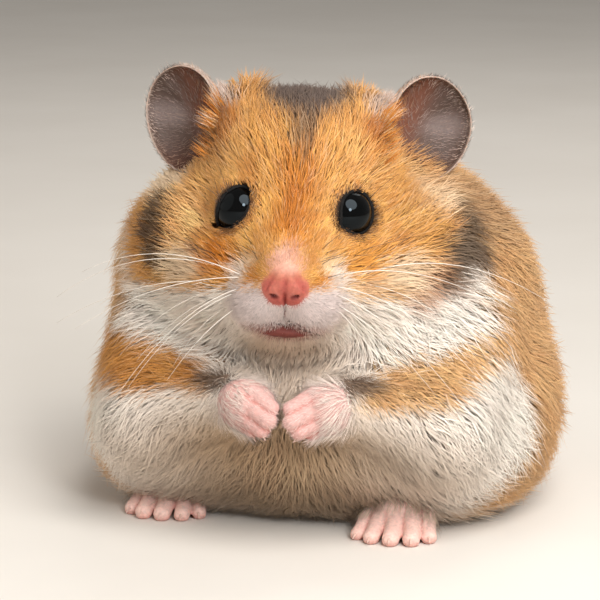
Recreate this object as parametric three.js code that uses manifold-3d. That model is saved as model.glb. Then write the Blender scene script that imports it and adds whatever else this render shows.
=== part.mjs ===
// A Syrian hamster at life size, sitting up with its hands held together under its chin.
// Millimetres. +X is the animal's left, -Y is the way it faces, +Z is up.
// Each solid reaches to the tips of the coat. The origin is on the floor under the middle of the body.
import * as THREE from 'three';
import { mergeVertices } from 'three/addons/utils/BufferGeometryUtils.js';
import Module from 'manifold-3d';

const wasm = await Module();
wasm.setup();

// ---- driving dimensions ----------------------------------------------------------------------

const GAP = 0.3;                         // clear space between two neighbouring parts
const HEAD_PLACE = new THREE.Vector3(-2.0, -14, 50.2);
const HEAD_YAW = THREE.MathUtils.degToRad(8);
const HEAD_ROLL = THREE.MathUtils.degToRad(2);
const EYE_PLACE = [8.3, -14.7, 1.9];     // in the head's own frame, for the left eye
const EYE_RADIUS = 4.0;
const EYE_AXIS = [0.68, -0.70, 0.21];    // the way the left eye looks
const LID_RADIUS = 3.6;                  // half the opening between the lids
const EAR_PLACE = [19.6, 6.0, 12.4];     // middle of the left ear's shell, in the head's frame
const EAR_RADII = [7.2, 4.6, 9.2];
const EAR_WALL = 0.9;
const EAR_RIM_DEPTH = 0.6;               // how far the rim stands in front of the ear's widest part
const EAR_TURN = [-8, 28, 20];           // pitch, yaw and roll of the left ear, degrees
const NOSE_PLACE = [0, -26.6, -6.7];
const NOSE_RADII = [2.9, 2.2, 2.5];
const HANDS_MIDDLE = 1.2;                // x of the line where the two hands meet
const FOOT_PLACES = { left: [16.4, -29.0], right: [-22.1, -23.0] };
const TAIL = { from: [0, 36, 8.4], to: [0, 43, 6], thick: 2.7, thin: 1.4 };

// Lobes of the head, in its own frame: [centre, radii, width of the blend with what is before it].
const HEAD_LOBES = [
  { name: 'cranium', centre: [0, 0.5, 5], radii: [16.5, 18.5, 14.8], blend: 0 },
  { name: 'ear base', centre: [12, 5, 7], radii: [10.5, 11, 11], blend: 6 },
  { name: 'cheek', centre: [14, 1, -6.5], radii: [13.5, 14.5, 12.5], blend: 7 },
  { name: 'snout', from: [0, -7.5, -1], to: [0, -22, -6.6], thick: 11.8, thin: 5.6, blend: 6 },
  { name: 'jowl', centre: [8.6, -11, -9.5], radii: [9.5, 9.5, 9], blend: 6 },
  { name: 'orbit', centre: [7.6, -12.7, 2], radii: [5.2, 5.2, 5.2], blend: 3 },
  { name: 'whisker pad', centre: [3.8, -20.8, -11.4], radii: [5.6, 5.8, 5.3], blend: 3.2 },
  { name: 'chin', centre: [0, -15.6, -15.0], radii: [7.8, 8.0, 5.0], blend: 3 },
];

// Lobes of the trunk, in the whole animal's frame.
const TRUNK_LOBES = [
  { name: 'belly', centre: [0, 3, 18.5], radii: [38.8, 39, 24.8], blend: 0 },
  { name: 'barrel', centre: [0, 4, 33], radii: [33.8, 33, 28], blend: 8 },
  { name: 'shoulder', centre: [24, 1, 36], radii: [10.4, 17, 10.5], blend: 6 },
  { name: 'haunch', centre: [23.5, -5, 12], radii: [15.5, 25, 14], blend: 8 },
];
const HAUNCH_CUT = { centre: [27, -7, 11], radii: [14.5, 22, 14] };

// The arm runs from the shoulder by the elbow to the wrist.
const SHOULDER = [25, -14, 29];
const ELBOW = [23.5, -27.5, 18];
const WRIST = [9.4, -36.3, 23.2];        // x counted from HANDS_MIDDLE
const ARM_RADII = { shoulder: 9.5, elbow: 8.3, wrist: 5.2 };

// The ball, in the head's frame, inside which the body counts as the head.
const NECK_CUT = { centre: [0, -7, 0], radii: [31, 27, 25] };

// The flat face, hidden inside, where an arm ends against the trunk.
const ARM_PLANE = { point: [25, -20, 24], normal: [0.2, -0.95, -0.2] };

// The hand, with x counted outwards from HANDS_MIDDLE.
const PALM = { centre: [6.0, -39.4, 23.7], radii: [4.9, 3.9, 4.6] };
const FINGERS = [
  { knuckle: [4.9, -40.6, 26.6], tip: [1.5, -42.6, 23.9], thick: 1.5, thin: 1.15 },
  { knuckle: [5.3, -41.2, 24.3], tip: [1.9, -43.4, 21.9], thick: 1.7, thin: 1.35 },
  { knuckle: [6.2, -41.2, 22.0], tip: [2.9, -43.0, 19.8], thick: 1.55, thin: 1.25 },
  { knuckle: [7.3, -40.4, 20.5], tip: [4.7, -41.8, 19.2], thick: 1.4, thin: 1.1 },
];

// The foot, about the middle of its toes, with x counted outwards.
const FOOT_SOLE = { heel: [0.5, 13, 4.0], ball: [0, 2, 3.1], thick: 5.0, thin: 3.9 };
const TOES = [
  { tip: [-5.6, -1.4, 1.3], radius: 1.25 },
  { tip: [-3.1, -3.2, 1.4], radius: 1.4 },
  { tip: [0.1, -3.7, 1.55], radius: 1.55 },
  { tip: [3.4, -3.1, 1.6], radius: 1.6 },
  { tip: [6.0, -0.8, 1.4], radius: 1.4 },
];
const TOE_ROOT = { spread: 0.62, y: 4.2, z: 3.4, thicker: 0.5 };
const FOOT_ARCH = { centre: [0, 7, 1.5], radii: [9.4, 12, 6.2] };
const SOLE_SINK = 0.35;                  // how far each toe is pressed flat on the floor

// How finely each wrapped form is faceted, and the middle that it is wrapped from.
const HEAD_DETAIL = 7;
const TRUNK_DETAIL = 6;
const ARM_DETAIL = 4;
const HEAD_CENTRE = [0, -5, -2];
const TRUNK_CENTRE = [0, 2, 26];

// ---- forms as distance functions -----------------------------------------------------------------

function ellipsoidDistance(p, centre, radii) {
  const q = [0, 1, 2].map((i) => (p[i] - centre[i]) / radii[i]);
  const k = Math.hypot(...q);
  const slope = Math.hypot(...q.map((v, i) => v / radii[i]));
  return k * (k - 1) / Math.max(slope, 1e-6);
}

function taperDistance(p, from, to, thick, thin) {
  const axis = to.map((v, i) => v - from[i]);
  const rel = p.map((v, i) => v - from[i]);
  const length2 = axis.reduce((sum, v) => sum + v * v, 0);
  const along = rel.reduce((sum, v, i) => sum + v * axis[i], 0) / length2;
  const t = THREE.MathUtils.clamp(along, 0, 1);
  return Math.hypot(...rel.map((v, i) => v - t * axis[i])) - THREE.MathUtils.lerp(thick, thin, t);
}

function blended(a, b, width) {
  const h = Math.max(width - Math.abs(a - b), 0) / width;
  return Math.min(a, b) - h * h * width / 4;
}

// The distance to a list of lobes joined smoothly. Each lobe stands on both sides of the middle plane.
function lobesDistance(point, lobes) {
  const p = [Math.abs(point[0]), point[1], point[2]];
  return lobes.reduce((far, lobe) => {
    const near = lobe.radii
      ? ellipsoidDistance(p, lobe.centre, lobe.radii)
      : taperDistance(p, lobe.from, lobe.to, lobe.thick, lobe.thin);
    return lobe.blend > 0 ? blended(far, near, lobe.blend) : near;
  }, Infinity);
}

// ---- closed solids from three.js geometries --------------------------------------------------------

const headFrame = new THREE.Matrix4()
  .makeRotationFromEuler(new THREE.Euler(0, HEAD_ROLL, HEAD_YAW, 'ZXY'))
  .setPosition(HEAD_PLACE);

function welded(geometry) {
  const bare = geometry.clone();
  bare.deleteAttribute('normal');
  bare.deleteAttribute('uv');
  return mergeVertices(bare, 1e-4);
}

function solid(geometry) {
  const merged = welded(geometry);
  const vertProperties = new Float32Array(merged.attributes.position.array);
  const triVerts = new Uint32Array(merged.index.array);
  return new wasm.Manifold(new wasm.Mesh({ numProp: 3, vertProperties, triVerts }));
}

// An even ball of triangles whose points slide out from a centre until they meet a form.
function wrapped(distance, centre, detail, grow = 0) {
  const geometry = welded(new THREE.IcosahedronGeometry(1, detail));
  const position = geometry.attributes.position;
  const ray = new THREE.Vector3();
  const at = (t) => ray.toArray().map((v, i) => centre[i] + v * t);
  const shortStep = 0.3;
  for (let i = 0; i < position.count; i += 1) {
    ray.fromBufferAttribute(position, i).normalize();
    let inside = 0;
    let outside = shortStep;
    for (let left = grow - distance(at(outside)); left > 0; left = grow - distance(at(outside))) {
      inside = outside;
      outside += Math.max(shortStep, left * 0.6);
    }
    for (let round = 0; round < 16; round += 1) {
      const middle = (inside + outside) / 2;
      if (distance(at(middle)) < grow) inside = middle;
      else outside = middle;
    }
    position.setXYZ(i, ...at(inside));
  }
  return solid(geometry);
}

function ellipsoid(centre, radii, grow = 0, [across, around] = [14, 20]) {
  const geometry = new THREE.SphereGeometry(1, around, across);
  geometry.scale(...radii.map((r) => r + grow));
  geometry.translate(...centre);
  return solid(geometry);
}

// A round bar with a ball at each end, from one point to another, getting thinner on the way.
function taper(from, to, thick, thin, sides = 7) {
  const start = new THREE.Vector3(...from);
  const way = new THREE.Vector3(...to).sub(start);
  const length = way.length();
  const rings = 2;
  const profile = [];
  for (let i = 0; i <= rings; i += 1) {
    const angle = Math.PI / 2 * (i / rings - 1);
    profile.push(new THREE.Vector2(i === 0 ? 0 : thick * Math.cos(angle), thick * Math.sin(angle)));
  }
  for (let i = 0; i <= rings; i += 1) {
    const angle = Math.PI / 2 * i / rings;
    const radius = i === rings ? 0 : thin * Math.cos(angle);
    profile.push(new THREE.Vector2(radius, length + thin * Math.sin(angle)));
  }
  const geometry = new THREE.LatheGeometry(profile, sides);
  const turn = new THREE.Quaternion().setFromUnitVectors(new THREE.Vector3(0, 1, 0), way.normalize());
  geometry.applyQuaternion(turn);
  geometry.translate(...from);
  return solid(geometry);
}

// Everything on one side of a plane, out to the reach of the animal.
function halfSpace(point, normal, back = 0) {
  const reach = 90;
  const geometry = new THREE.BoxGeometry(2 * reach, 2 * reach, reach);
  const way = new THREE.Vector3(...normal).normalize();
  geometry.translate(0, 0, reach / 2 - back);
  geometry.applyQuaternion(new THREE.Quaternion().setFromUnitVectors(new THREE.Vector3(0, 0, 1), way));
  geometry.translate(...point);
  return solid(geometry);
}

function block(low, high) {
  const size = high.map((v, i) => v - low[i]);
  const geometry = new THREE.BoxGeometry(...size);
  geometry.translate(...low.map((v, i) => v + size[i] / 2));
  return solid(geometry);
}

function largestPiece(form) {
  return form.decompose().reduce((best, piece) => (piece.volume() > best.volume() ? piece : best));
}

const mirrorX = (side, [x, y, z]) => [side * x, y, z];
const fromMiddle = (side, [x, y, z]) => [HANDS_MIDDLE + side * x, y, z];
const floorSlab = block([-90, -90, -30], [90, 90, 0]);

function mesh(name, form, color, roughness, metalness = 0) {
  const { vertProperties, triVerts, numProp } = form.getMesh();
  const points = new Float32Array(vertProperties.length / numProp * 3);
  for (let i = 0; i < points.length / 3; i += 1) {
    points.set(vertProperties.subarray(i * numProp, i * numProp + 3), i * 3);
  }
  const geometry = new THREE.BufferGeometry();
  geometry.setAttribute('position', new THREE.BufferAttribute(points, 3));
  geometry.setIndex(new THREE.BufferAttribute(new Uint32Array(triVerts), 1));
  geometry.computeVertexNormals();
  const made = new THREE.Mesh(geometry, new THREE.MeshStandardMaterial({ color, roughness, metalness }));
  made.name = name;
  return made;
}

// The trunk, neck and head as one smooth form, in the whole animal's frame.
const NECK_BLEND = 6;
const headInverse = headFrame.clone().invert();
function wholeDistance(p) {
  const inHead = new THREE.Vector3(...p).applyMatrix4(headInverse).toArray();
  return blended(lobesDistance(p, TRUNK_LOBES), headDistance(inHead), NECK_BLEND);
}

// ---- head, in its own frame ------------------------------------------------------------------------

const headDistance = (p) => lobesDistance(p, HEAD_LOBES);
const neckCut = (grow) => ellipsoid(NECK_CUT.centre, NECK_CUT.radii, grow, [10, 14]);
const nose = ellipsoid(NOSE_PLACE, NOSE_RADII, 0, [8, 10]);

// A cone-sided hole along the eye's axis, wider outside than at the lids.
function eyeOpening(side) {
  const depth = 8;
  const flare = 0.9;
  const geometry = new THREE.CylinderGeometry(LID_RADIUS + flare, LID_RADIUS, depth, 12);
  const axis = new THREE.Vector3(...mirrorX(side, EYE_AXIS)).normalize();
  geometry.translate(0, depth / 2, 0);
  geometry.applyQuaternion(new THREE.Quaternion().setFromUnitVectors(new THREE.Vector3(0, 1, 0), axis));
  geometry.translate(...mirrorX(side, EYE_PLACE));
  return solid(geometry);
}

// A cupped shell: one ellipsoid less a thinner one in front of it, cut off along the rim.
function ear(side, grow = 0) {
  const [pitch, yaw, roll] = EAR_TURN.map(THREE.MathUtils.degToRad);
  const outer = ellipsoid([0, 0, 0], EAR_RADII, grow, [10, 18]);
  const inner = ellipsoid([0, -EAR_WALL / 4, 0], EAR_RADII, -EAR_WALL - grow, [10, 18]);
  const front = block([-20, -20, -20], [20, -EAR_RIM_DEPTH - grow, 20]);
  const shell = outer.subtract(inner).subtract(front);
  const place = new THREE.Matrix4()
    .makeRotationFromEuler(new THREE.Euler(pitch, side * roll, side * yaw, 'ZXY'))
    .setPosition(...mirrorX(side, EAR_PLACE));
  return shell.transform(place.toArray());
}

const wholeInHeadFrame = (p) => wholeDistance(new THREE.Vector3(...p).applyMatrix4(headFrame).toArray());

function headForm() {
  let form = wrapped(wholeInHeadFrame, HEAD_CENTRE, HEAD_DETAIL).intersect(neckCut(0));
  form = form.subtract(ellipsoid(NOSE_PLACE, NOSE_RADII, GAP, [8, 10]));
  for (const side of [1, -1]) {
    const eye = mirrorX(side, EYE_PLACE);
    form = form.subtract(ellipsoid(eye, [EYE_RADIUS, EYE_RADIUS, EYE_RADIUS], GAP + 0.1, [6, 10]));
    form = form.subtract(eyeOpening(side));
  }
  return largestPiece(form);
}

const headPart = headForm();
const earBed = wrapped(wholeInHeadFrame, HEAD_CENTRE, HEAD_DETAIL, GAP);
const head = new THREE.Group();
head.applyMatrix4(headFrame);
head.add(mesh('head', headPart, 0xd08a3c, 0.9));
head.add(mesh('nose', nose, 0xd98a84, 0.5));
for (const [name, side] of [['left', 1], ['right', -1]]) {
  const eye = new THREE.Mesh(
    new THREE.SphereGeometry(EYE_RADIUS, 14, 8),
    new THREE.MeshStandardMaterial({ color: 0x0a0808, roughness: 0.05 }),
  );
  eye.name = `eye_${name}`;
  eye.position.set(...mirrorX(side, EYE_PLACE));
  head.add(eye);
  head.add(mesh(`ear_${name}`, largestPiece(ear(side).subtract(earBed)), 0x6b5a55, 0.8));
}

// ---- arms and hands --------------------------------------------------------------------------------

const armDistance = (side) => (p) => {
  const upper = taperDistance(p, mirrorX(side, SHOULDER), mirrorX(side, ELBOW),
    ARM_RADII.shoulder, ARM_RADII.elbow);
  const fore = taperDistance(p, mirrorX(side, ELBOW), fromMiddle(side, WRIST),
    ARM_RADII.elbow, ARM_RADII.wrist);
  return blended(upper, fore, 4);
};
const arm = (side, grow) => wrapped(armDistance(side), mirrorX(side, ELBOW), ARM_DETAIL, grow)
  .intersect(halfSpace(mirrorX(side, ARM_PLANE.point), mirrorX(side, ARM_PLANE.normal), grow));

const palm = (side, grow) => ellipsoid(fromMiddle(side, PALM.centre), PALM.radii, grow, [8, 12]);

function hand(side) {
  let form = palm(side, 0);
  for (const { knuckle, tip, thick, thin } of FINGERS) {
    form = form.add(taper(fromMiddle(side, knuckle), fromMiddle(side, tip), thick, thin));
  }
  return form;
}

// ---- feet and tail ---------------------------------------------------------------------------------

const onFoot = (side, p) => {
  const [x, y] = FOOT_PLACES[side > 0 ? 'left' : 'right'];
  return [x + side * p[0], y + p[1], p[2] - SOLE_SINK];
};

function sole(side, grow) {
  const { heel, ball, thick, thin } = FOOT_SOLE;
  return taper(onFoot(side, heel), onFoot(side, ball), thick + grow, thin + grow);
}

function foot(side) {
  let form = sole(side, 0);
  for (const { tip, radius } of TOES) {
    const root = [tip[0] * TOE_ROOT.spread, TOE_ROOT.y, TOE_ROOT.z];
    form = form.add(taper(onFoot(side, root), onFoot(side, tip), radius + TOE_ROOT.thicker, radius));
  }
  return form.subtract(floorSlab);
}

// The room that the body leaves for a foot: its sole, and a low arch over the roots of the toes.
function footSpace(side) {
  return sole(side, GAP).add(ellipsoid(onFoot(side, FOOT_ARCH.centre), FOOT_ARCH.radii, 0, [5, 10]));
}

const tail = (grow) => taper(TAIL.from, TAIL.to, TAIL.thick + grow, TAIL.thin + grow);

// ---- trunk and haunches ----------------------------------------------------------------------------

const SIDES = [['left', 1], ['right', -1]];
const hamster = new THREE.Group();
hamster.add(head);

const headSpace = neckCut(GAP).transform(headFrame.toArray());
let body = wrapped(wholeDistance, TRUNK_CENTRE, TRUNK_DETAIL).subtract(floorSlab).subtract(headSpace);
for (const [, side] of SIDES) {
  body = body.subtract(arm(side, GAP));
  body = body.subtract(footSpace(side));
  body = body.subtract(ear(side, GAP).transform(headFrame.toArray()));
}
body = largestPiece(body.subtract(tail(GAP)));

for (const [name, side] of SIDES) {
  const { centre, radii } = HAUNCH_CUT;
  const haunch = body.intersect(ellipsoid(mirrorX(side, centre), radii, 0, [8, 14]));
  hamster.add(mesh(`haunch_${name}`, largestPiece(haunch), 0xe8dccb, 0.95));
  body = body.subtract(ellipsoid(mirrorX(side, centre), radii, GAP, [8, 14]));
  const limb = arm(side, 0).subtract(headSpace).subtract(palm(side, GAP));
  hamster.add(mesh(`arm_${name}`, largestPiece(limb), 0xe3b27a, 0.95));
  hamster.add(mesh(`hand_${name}`, hand(side), 0xe2ada5, 0.6));
  hamster.add(mesh(`foot_${name}`, foot(side), 0xe2ada5, 0.6));
}
hamster.add(mesh('trunk', largestPiece(body), 0xc98f52, 0.95));
hamster.add(mesh('tail', tail(0), 0xddb3a0, 0.7));

// Centre the whole animal over the origin, standing on z = 0.
hamster.updateMatrixWorld(true);
const extent = new THREE.Box3().setFromObject(hamster, true);
const middle = extent.getCenter(new THREE.Vector3());
hamster.position.set(-middle.x, -middle.y, 0);

export default hamster;
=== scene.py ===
"""A life-size Syrian hamster, sitting up with its hands held together under its chin. One skin carries a coat
of solid tufts. Eyes, claws and whiskers are pieces of their own. Shapes are worked out in millimetres, in the
frame in which the solids were drawn: +X is the animal's left, -Y is the way it faces, +Z is up. They become
metres when a mesh is made."""
import math

import bpy
import numpy as np
from mathutils import Matrix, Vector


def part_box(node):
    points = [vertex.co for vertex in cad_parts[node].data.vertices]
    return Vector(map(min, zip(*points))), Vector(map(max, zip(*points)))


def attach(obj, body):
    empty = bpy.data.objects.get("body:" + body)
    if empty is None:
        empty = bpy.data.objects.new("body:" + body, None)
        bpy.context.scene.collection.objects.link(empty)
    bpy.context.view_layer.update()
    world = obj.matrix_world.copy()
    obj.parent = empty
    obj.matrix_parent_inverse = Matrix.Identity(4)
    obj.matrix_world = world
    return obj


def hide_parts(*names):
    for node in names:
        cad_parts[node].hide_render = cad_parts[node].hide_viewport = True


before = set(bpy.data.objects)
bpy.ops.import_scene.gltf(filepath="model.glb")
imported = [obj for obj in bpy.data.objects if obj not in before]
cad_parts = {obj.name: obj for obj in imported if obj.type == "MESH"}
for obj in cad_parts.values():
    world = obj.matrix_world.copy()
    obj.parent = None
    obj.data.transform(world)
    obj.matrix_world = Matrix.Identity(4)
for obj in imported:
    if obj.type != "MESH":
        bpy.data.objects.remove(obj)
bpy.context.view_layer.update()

# ---- driving dimensions, millimetres ----

MM = 0.001
FAR = 60.0                                # a distance beyond every blend
HEAD_PLACE = np.array([-2.0, -14.0, 50.2])
HEAD_YAW = math.radians(8)
HEAD_ROLL = math.radians(2)
HEAD_REACH = 44                           # past this from its middle, the head's form is left out
EYE_PLACE = np.array([8.3, -14.7, 1.9])   # the left eye, in the head's frame
EYE_RADIUS = 4.0
EYE_AXES = {1: (0.68, -0.70, 0.21), -1: (-0.23, -0.94, 0.25)}   # where the opening of each eye looks
LID_OPENINGS = {1: (3.1, 3.2, 0), -1: (2.15, 3.4, 27)}    # half widths across and along, and degrees of lean
NOSE_TIP = np.array([0.0, -27.5, -7.5])   # where the lie of the head's coat starts
EAR_PLACE = np.array([19.6, 6.0, 12.4])
EAR_RADII = np.array([7.0, 4.4, 9.0])
EAR_WALL = 0.75
EAR_RIM_ANGLE = math.radians(97)
EAR_TURN = (-8, 28, 20)                   # pitch, yaw and roll, degrees
HANDS_MIDDLE = 1.2
FOOT_PLACES = {"left": (16.4, -29.0), "right": (-22.1, -23.0)}
SOLE_SINK = 0.35
TAIL = ((0, 35, 8.8), (0, 42.6, 6.1), 2.4, 1.2)   # from, to, thick end, thin end
SKIN_FLOOR = 1.0                          # the skin's lowest level, where the coat is pressed flat
COAT_FLOOR = 0.12                         # the lowest level of a tuft

# Lobes: (centre, radii, width of the blend) or (from, to, thick end, thin end, width of the blend).
HEAD_LOBES = [
    ((0, 0.5, 5), (16.5, 18.5, 14.8), 0),              # cranium
    ((12, 5, 7), (10.5, 11, 11), 6),                   # ear base
    ((14, 1, -6.5), (13.5, 14.5, 12.5), 7),            # cheek
    ((0, -7.5, -1), (0, -22, -6.6), 11.8, 5.6, 6),     # snout
    ((8.6, -11, -9.5), (9.5, 9.5, 9), 6),              # jowl
    ((7.6, -12.7, 2), (5.2, 5.2, 5.2), 3),             # orbit
    ((3.8, -20.8, -11.4), (5.6, 5.8, 5.3), 3.2),       # whisker pad
    ((0, -15.6, -15.0), (7.8, 8.0, 5.0), 3),           # chin
]
TRUNK_LOBES = [
    ((0, 3, 18.5), (38.8, 39, 24.8), 0),               # belly
    ((0, 4, 33), (33.8, 33, 28), 8),                   # barrel
    ((24, 1, 36), (10.4, 17, 10.5), 6),                # shoulder
    ((23.5, -5, 12), (15.5, 25, 14), 8),               # haunch
]
NECK_BLEND = 6
SHOULDER, ELBOW, WRIST = (25, -14, 29), (23.5, -27.5, 18), (9.4, -36.3, 23.2)
ARM_RADII = (9.5, 8.3, 5.2)
ARM_BLEND = 4
ARMS_MIDDLE, ARMS_REACH = (0, -25, 24), 48   # past this reach from there, the arms' form is left out
PALM = ((6.0, -39.2, 23.4), (4.4, 3.6, 3.6))
WRIST_STUB = ((7, -39, 23.4), (10.5, -35, 22.5), 3.4, 3.3)
FINGERS = [                               # knuckle, tip, thick end, thin end
    ((5.0, -40.4, 25.7), (1.5, -42.4, 23.9), 1.55, 1.2),
    ((5.4, -41.0, 23.9), (1.9, -43.2, 22.1), 1.75, 1.4),
    ((6.2, -41.0, 22.1), (2.9, -42.8, 20.5), 1.6, 1.3),
    ((7.3, -40.2, 21.0), (4.7, -41.6, 19.9), 1.4, 1.1),
]
TOES = [                                  # tip and radius there, in the foot's frame
    ((-5.6, -1.0, 1.15), 1.1), ((-3.1, -2.7, 1.25), 1.25), ((0.1, -3.2, 1.35), 1.35),
    ((3.3, -2.7, 1.35), 1.35), ((5.8, -0.6, 1.2), 1.2)]
TOE_ROOT = (0.72, 5.4, 3.6)               # x as a share of the tip's, y and z
TOE_THICKER = 0.45                        # how much more a toe's radius is at its root
SOLE = ((0.5, 13, 4.0), (0, 5.0, 3.2), 5.0, 4.0)
FINGER_SWELL, TOE_SWELL = 0.03, 0.04      # how far the joints stand out

NECK_RUFF = ((-25.5, -5, 40), (9, 12, 11), 6)
EAR_HOLLOW = ((22.8, 0.5, 14.2), (9.0, 16, 11))  # kept free of hair, so that the ear's cup shows
EAR_HOLLOW_REAR = 0.8                     # how far behind the ear's middle it reaches
EAR_HOLLOW_EDGE = 2.5                     # the rounding of its edge

# Depth of the coat over the skin.
TRUNK_COAT = 3.9
HEAD_COAT = (0.2, 2.4)                    # at the nose, and from the nape on
NOSE_TO_NAPE = (3, 26)                    # distances from the tip of the nose over which it deepens
ARM_COAT = (0.7, 3.5)                     # at the wrist, and from the elbow on
WRIST_TO_ELBOW = (2, 16)                  # distances from the wrist over which it deepens
ROUND_EYE = (0.35, 4.5, 8.5)              # share of the depth at the eye, and from where to where it grows
ROUND_EAR = (0.5, 9.5, 13.5)              # the same for the ear
EAR_BREADTH = np.array([0.9, 1, 1])       # distances from the ear are measured over these
NECK_COAT_BLEND, ARM_COAT_BLEND = 5, 3    # half the width over which one part's depth becomes the next one's

# ---- small helpers ----


def lengths(v):
    """Length of each row vector."""
    return np.sqrt((v * v).sum(-1))


def unit(v):
    """Each row vector over its own length."""
    return v / np.maximum(lengths(v), 1e-9)[..., None]


def mix(a, b, t):
    """a at t 0, b at t 1, along a straight line."""
    return a + (b - a) * t


def ease(low, high, v):
    """0 below low and 1 above high, with a smooth S between them (3t^2 - 2t^3)."""
    t = np.clip((v - low) / (high - low), 0, 1)
    return t * t * (3 - 2 * t)


def turn_matrix(pitch, yaw, roll):
    """Rz(yaw) Rx(pitch) Ry(roll), angles in radians; its columns are the local axes."""
    cp, sp, cy, sy = math.cos(pitch), math.sin(pitch), math.cos(yaw), math.sin(yaw)
    cr, sr = math.cos(roll), math.sin(roll)
    about_z = np.array([[cy, -sy, 0], [sy, cy, 0], [0, 0, 1]])
    about_x = np.array([[1, 0, 0], [0, cp, -sp], [0, sp, cp]])
    about_y = np.array([[cr, 0, sr], [0, 1, 0], [-sr, 0, cr]])
    return about_z @ about_x @ about_y


HEAD_TURN = turn_matrix(0, HEAD_YAW, HEAD_ROLL)


def to_head(p):
    """Points of the whole animal's frame, in the head's frame."""
    return (p - HEAD_PLACE) @ HEAD_TURN


def from_head(q):
    """Points of the head's frame, in the whole animal's frame."""
    return q @ HEAD_TURN.T + HEAD_PLACE


def mirrored(p, middle=0.0):
    """Points folded onto the left side of the plane x = middle, which becomes x = 0."""
    q = p.copy()
    q[:, 0] = np.abs(p[:, 0] - middle)
    return q


def on_side(side, v):
    """A place given for the left side, on the side asked for (1 left, -1 right)."""
    return np.array([side * v[0], v[1], v[2]])


LATTICE = 24


def noise_table(seed):
    """Random vectors between -1 and 1 on a lattice that repeats every 24 cells."""
    return np.random.default_rng(seed).uniform(-1, 1, (LATTICE, LATTICE, LATTICE, 3)).astype(np.float32)


WANDER_TABLE = noise_table(11)
CLUMP_TABLE = noise_table(12)


def wander(p, size):
    """Smooth random vectors: those of a lattice of cells of the given size, mixed with eased weights."""
    cell = np.floor(p / size).astype(int)
    t = p / size - cell
    t = t * t * (3 - 2 * t)
    total = np.zeros_like(p)
    for corner in np.ndindex(2, 2, 2):
        weight = np.prod(np.where(corner, t, 1 - t), axis=-1)
        total += weight[:, None] * WANDER_TABLE[tuple(((cell + corner) % LATTICE).T)]
    return total


CLUMP_STRAY = 0.45                        # how far a clump may stand from its cube's middle, in cubes


def nearest_clump(p, size):
    """The nearest of the points that stand one in each cube of the given size, each moved at random in it."""
    cell = np.floor(p / size).astype(int)
    best = np.full(len(p), np.inf)
    centre = p.copy()
    for corner in np.ndindex(3, 3, 3):
        other = cell + corner - 1
        spot = (other + 0.5 + CLUMP_STRAY * CLUMP_TABLE[tuple((other % LATTICE).T)]) * size
        gap = ((spot - p) ** 2).sum(-1)
        closer = gap < best
        best = np.where(closer, gap, best)
        centre = np.where(closer[:, None], spot, centre)
    return centre


# ---- forms as distance functions ----


def ellipsoid_distance(p, centre, radii):
    """About the distance to an ellipsoid: k (k - 1) over the slope of k, where k is the scaled radius."""
    q = (p - np.asarray(centre, np.float32)) / np.asarray(radii, np.float32)
    k = lengths(q)
    return k * (k - 1) / np.maximum(lengths(q / np.asarray(radii, np.float32)), 1e-6)


def taper_distance(p, start, end, thick, thin):
    """Distance to a round bar between two points, whose radius goes from thick to thin along it."""
    start = np.asarray(start, np.float32)
    axis = np.asarray(end, np.float32) - start
    rel = p - start
    t = np.clip(rel @ axis / (axis @ axis), 0, 1)
    return lengths(rel - t[:, None] * axis) - (thick + (thin - thick) * t)


def joined(a, b, width):
    """The nearer of two distances, with a fillet of the given width where they meet."""
    h = np.maximum(width - np.abs(a - b), 0) / width
    return np.minimum(a, b) - h * h * width / 4


def less(a, b, width):
    """Form a with form b taken away, with an edge rounded over the given width."""
    return -joined(-a, b, width)


def lobes_distance(p, lobes):
    """Distance to the lobes of a list, each joined to what comes before it by its own blend."""
    total = None
    for lobe in lobes:
        form = ellipsoid_distance(p, *lobe[:2]) if len(lobe) == 3 else taper_distance(p, *lobe[:4])
        total = form if total is None else joined(total, form, lobe[-1])
    return total


def where_near(p, centre, reach, distance):
    """distance(p) for the points within reach of a centre, and FAR for the others."""
    near = lengths(p - np.asarray(centre, np.float32)) < reach
    total = np.full(len(p), FAR, np.float32)
    if near.any():
        total[near] = distance(p[near])
    return total


def head_distance(p):
    """Distance to the head, out to the tips of its coat: its lobes, with a hollow in front of each ear's cup
    that leaves what stands behind the cup."""
    def near_head(near):
        m = mirrored(to_head(near))
        local = (m - EAR_PLACE) @ turn_matrix(*(math.radians(angle) for angle in EAR_TURN))
        ahead = np.minimum(local[:, 1] - EAR_HOLLOW_REAR, ellipsoid_distance(local, (0, 0, 0), EAR_RADII))
        hollow = np.maximum(ellipsoid_distance(m, *EAR_HOLLOW), ahead)
        return less(lobes_distance(m, HEAD_LOBES), hollow, EAR_HOLLOW_EDGE)

    return where_near(p, HEAD_PLACE, HEAD_REACH, near_head)


def arm_distance(p):
    """Distance to the nearer arm: one taper from shoulder to elbow, blended with one from elbow to wrist."""
    def one(near, side):
        upper = taper_distance(near, on_side(side, SHOULDER), on_side(side, ELBOW), *ARM_RADII[:2])
        wrist = on_side(side, WRIST) + (HANDS_MIDDLE, 0, 0)
        lower = taper_distance(near, on_side(side, ELBOW), wrist, *ARM_RADII[1:])
        return joined(upper, lower, ARM_BLEND)

    def both(near):
        return np.minimum(one(near, 1), one(near, -1))

    return where_near(p, ARMS_MIDDLE, ARMS_REACH, both)


def coat_distance(p):
    """Distance to the tips of the coat, with the parts' own distances: (whole, trunk, head, arm)."""
    trunk = lobes_distance(mirrored(p), TRUNK_LOBES)
    trunk = joined(trunk, ellipsoid_distance(p, *NECK_RUFF[:2]), NECK_RUFF[2])
    head = head_distance(p)
    arm = arm_distance(p)
    whole = joined(joined(trunk, head, NECK_BLEND), arm, ARM_BLEND)
    return whole, trunk, head, arm


def thinned(distance, share, near, far):
    """Share of the coat's full depth: the given one up to near, and growing to 1 at far."""
    return mix(share, 1, ease(near, far, distance))


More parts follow.
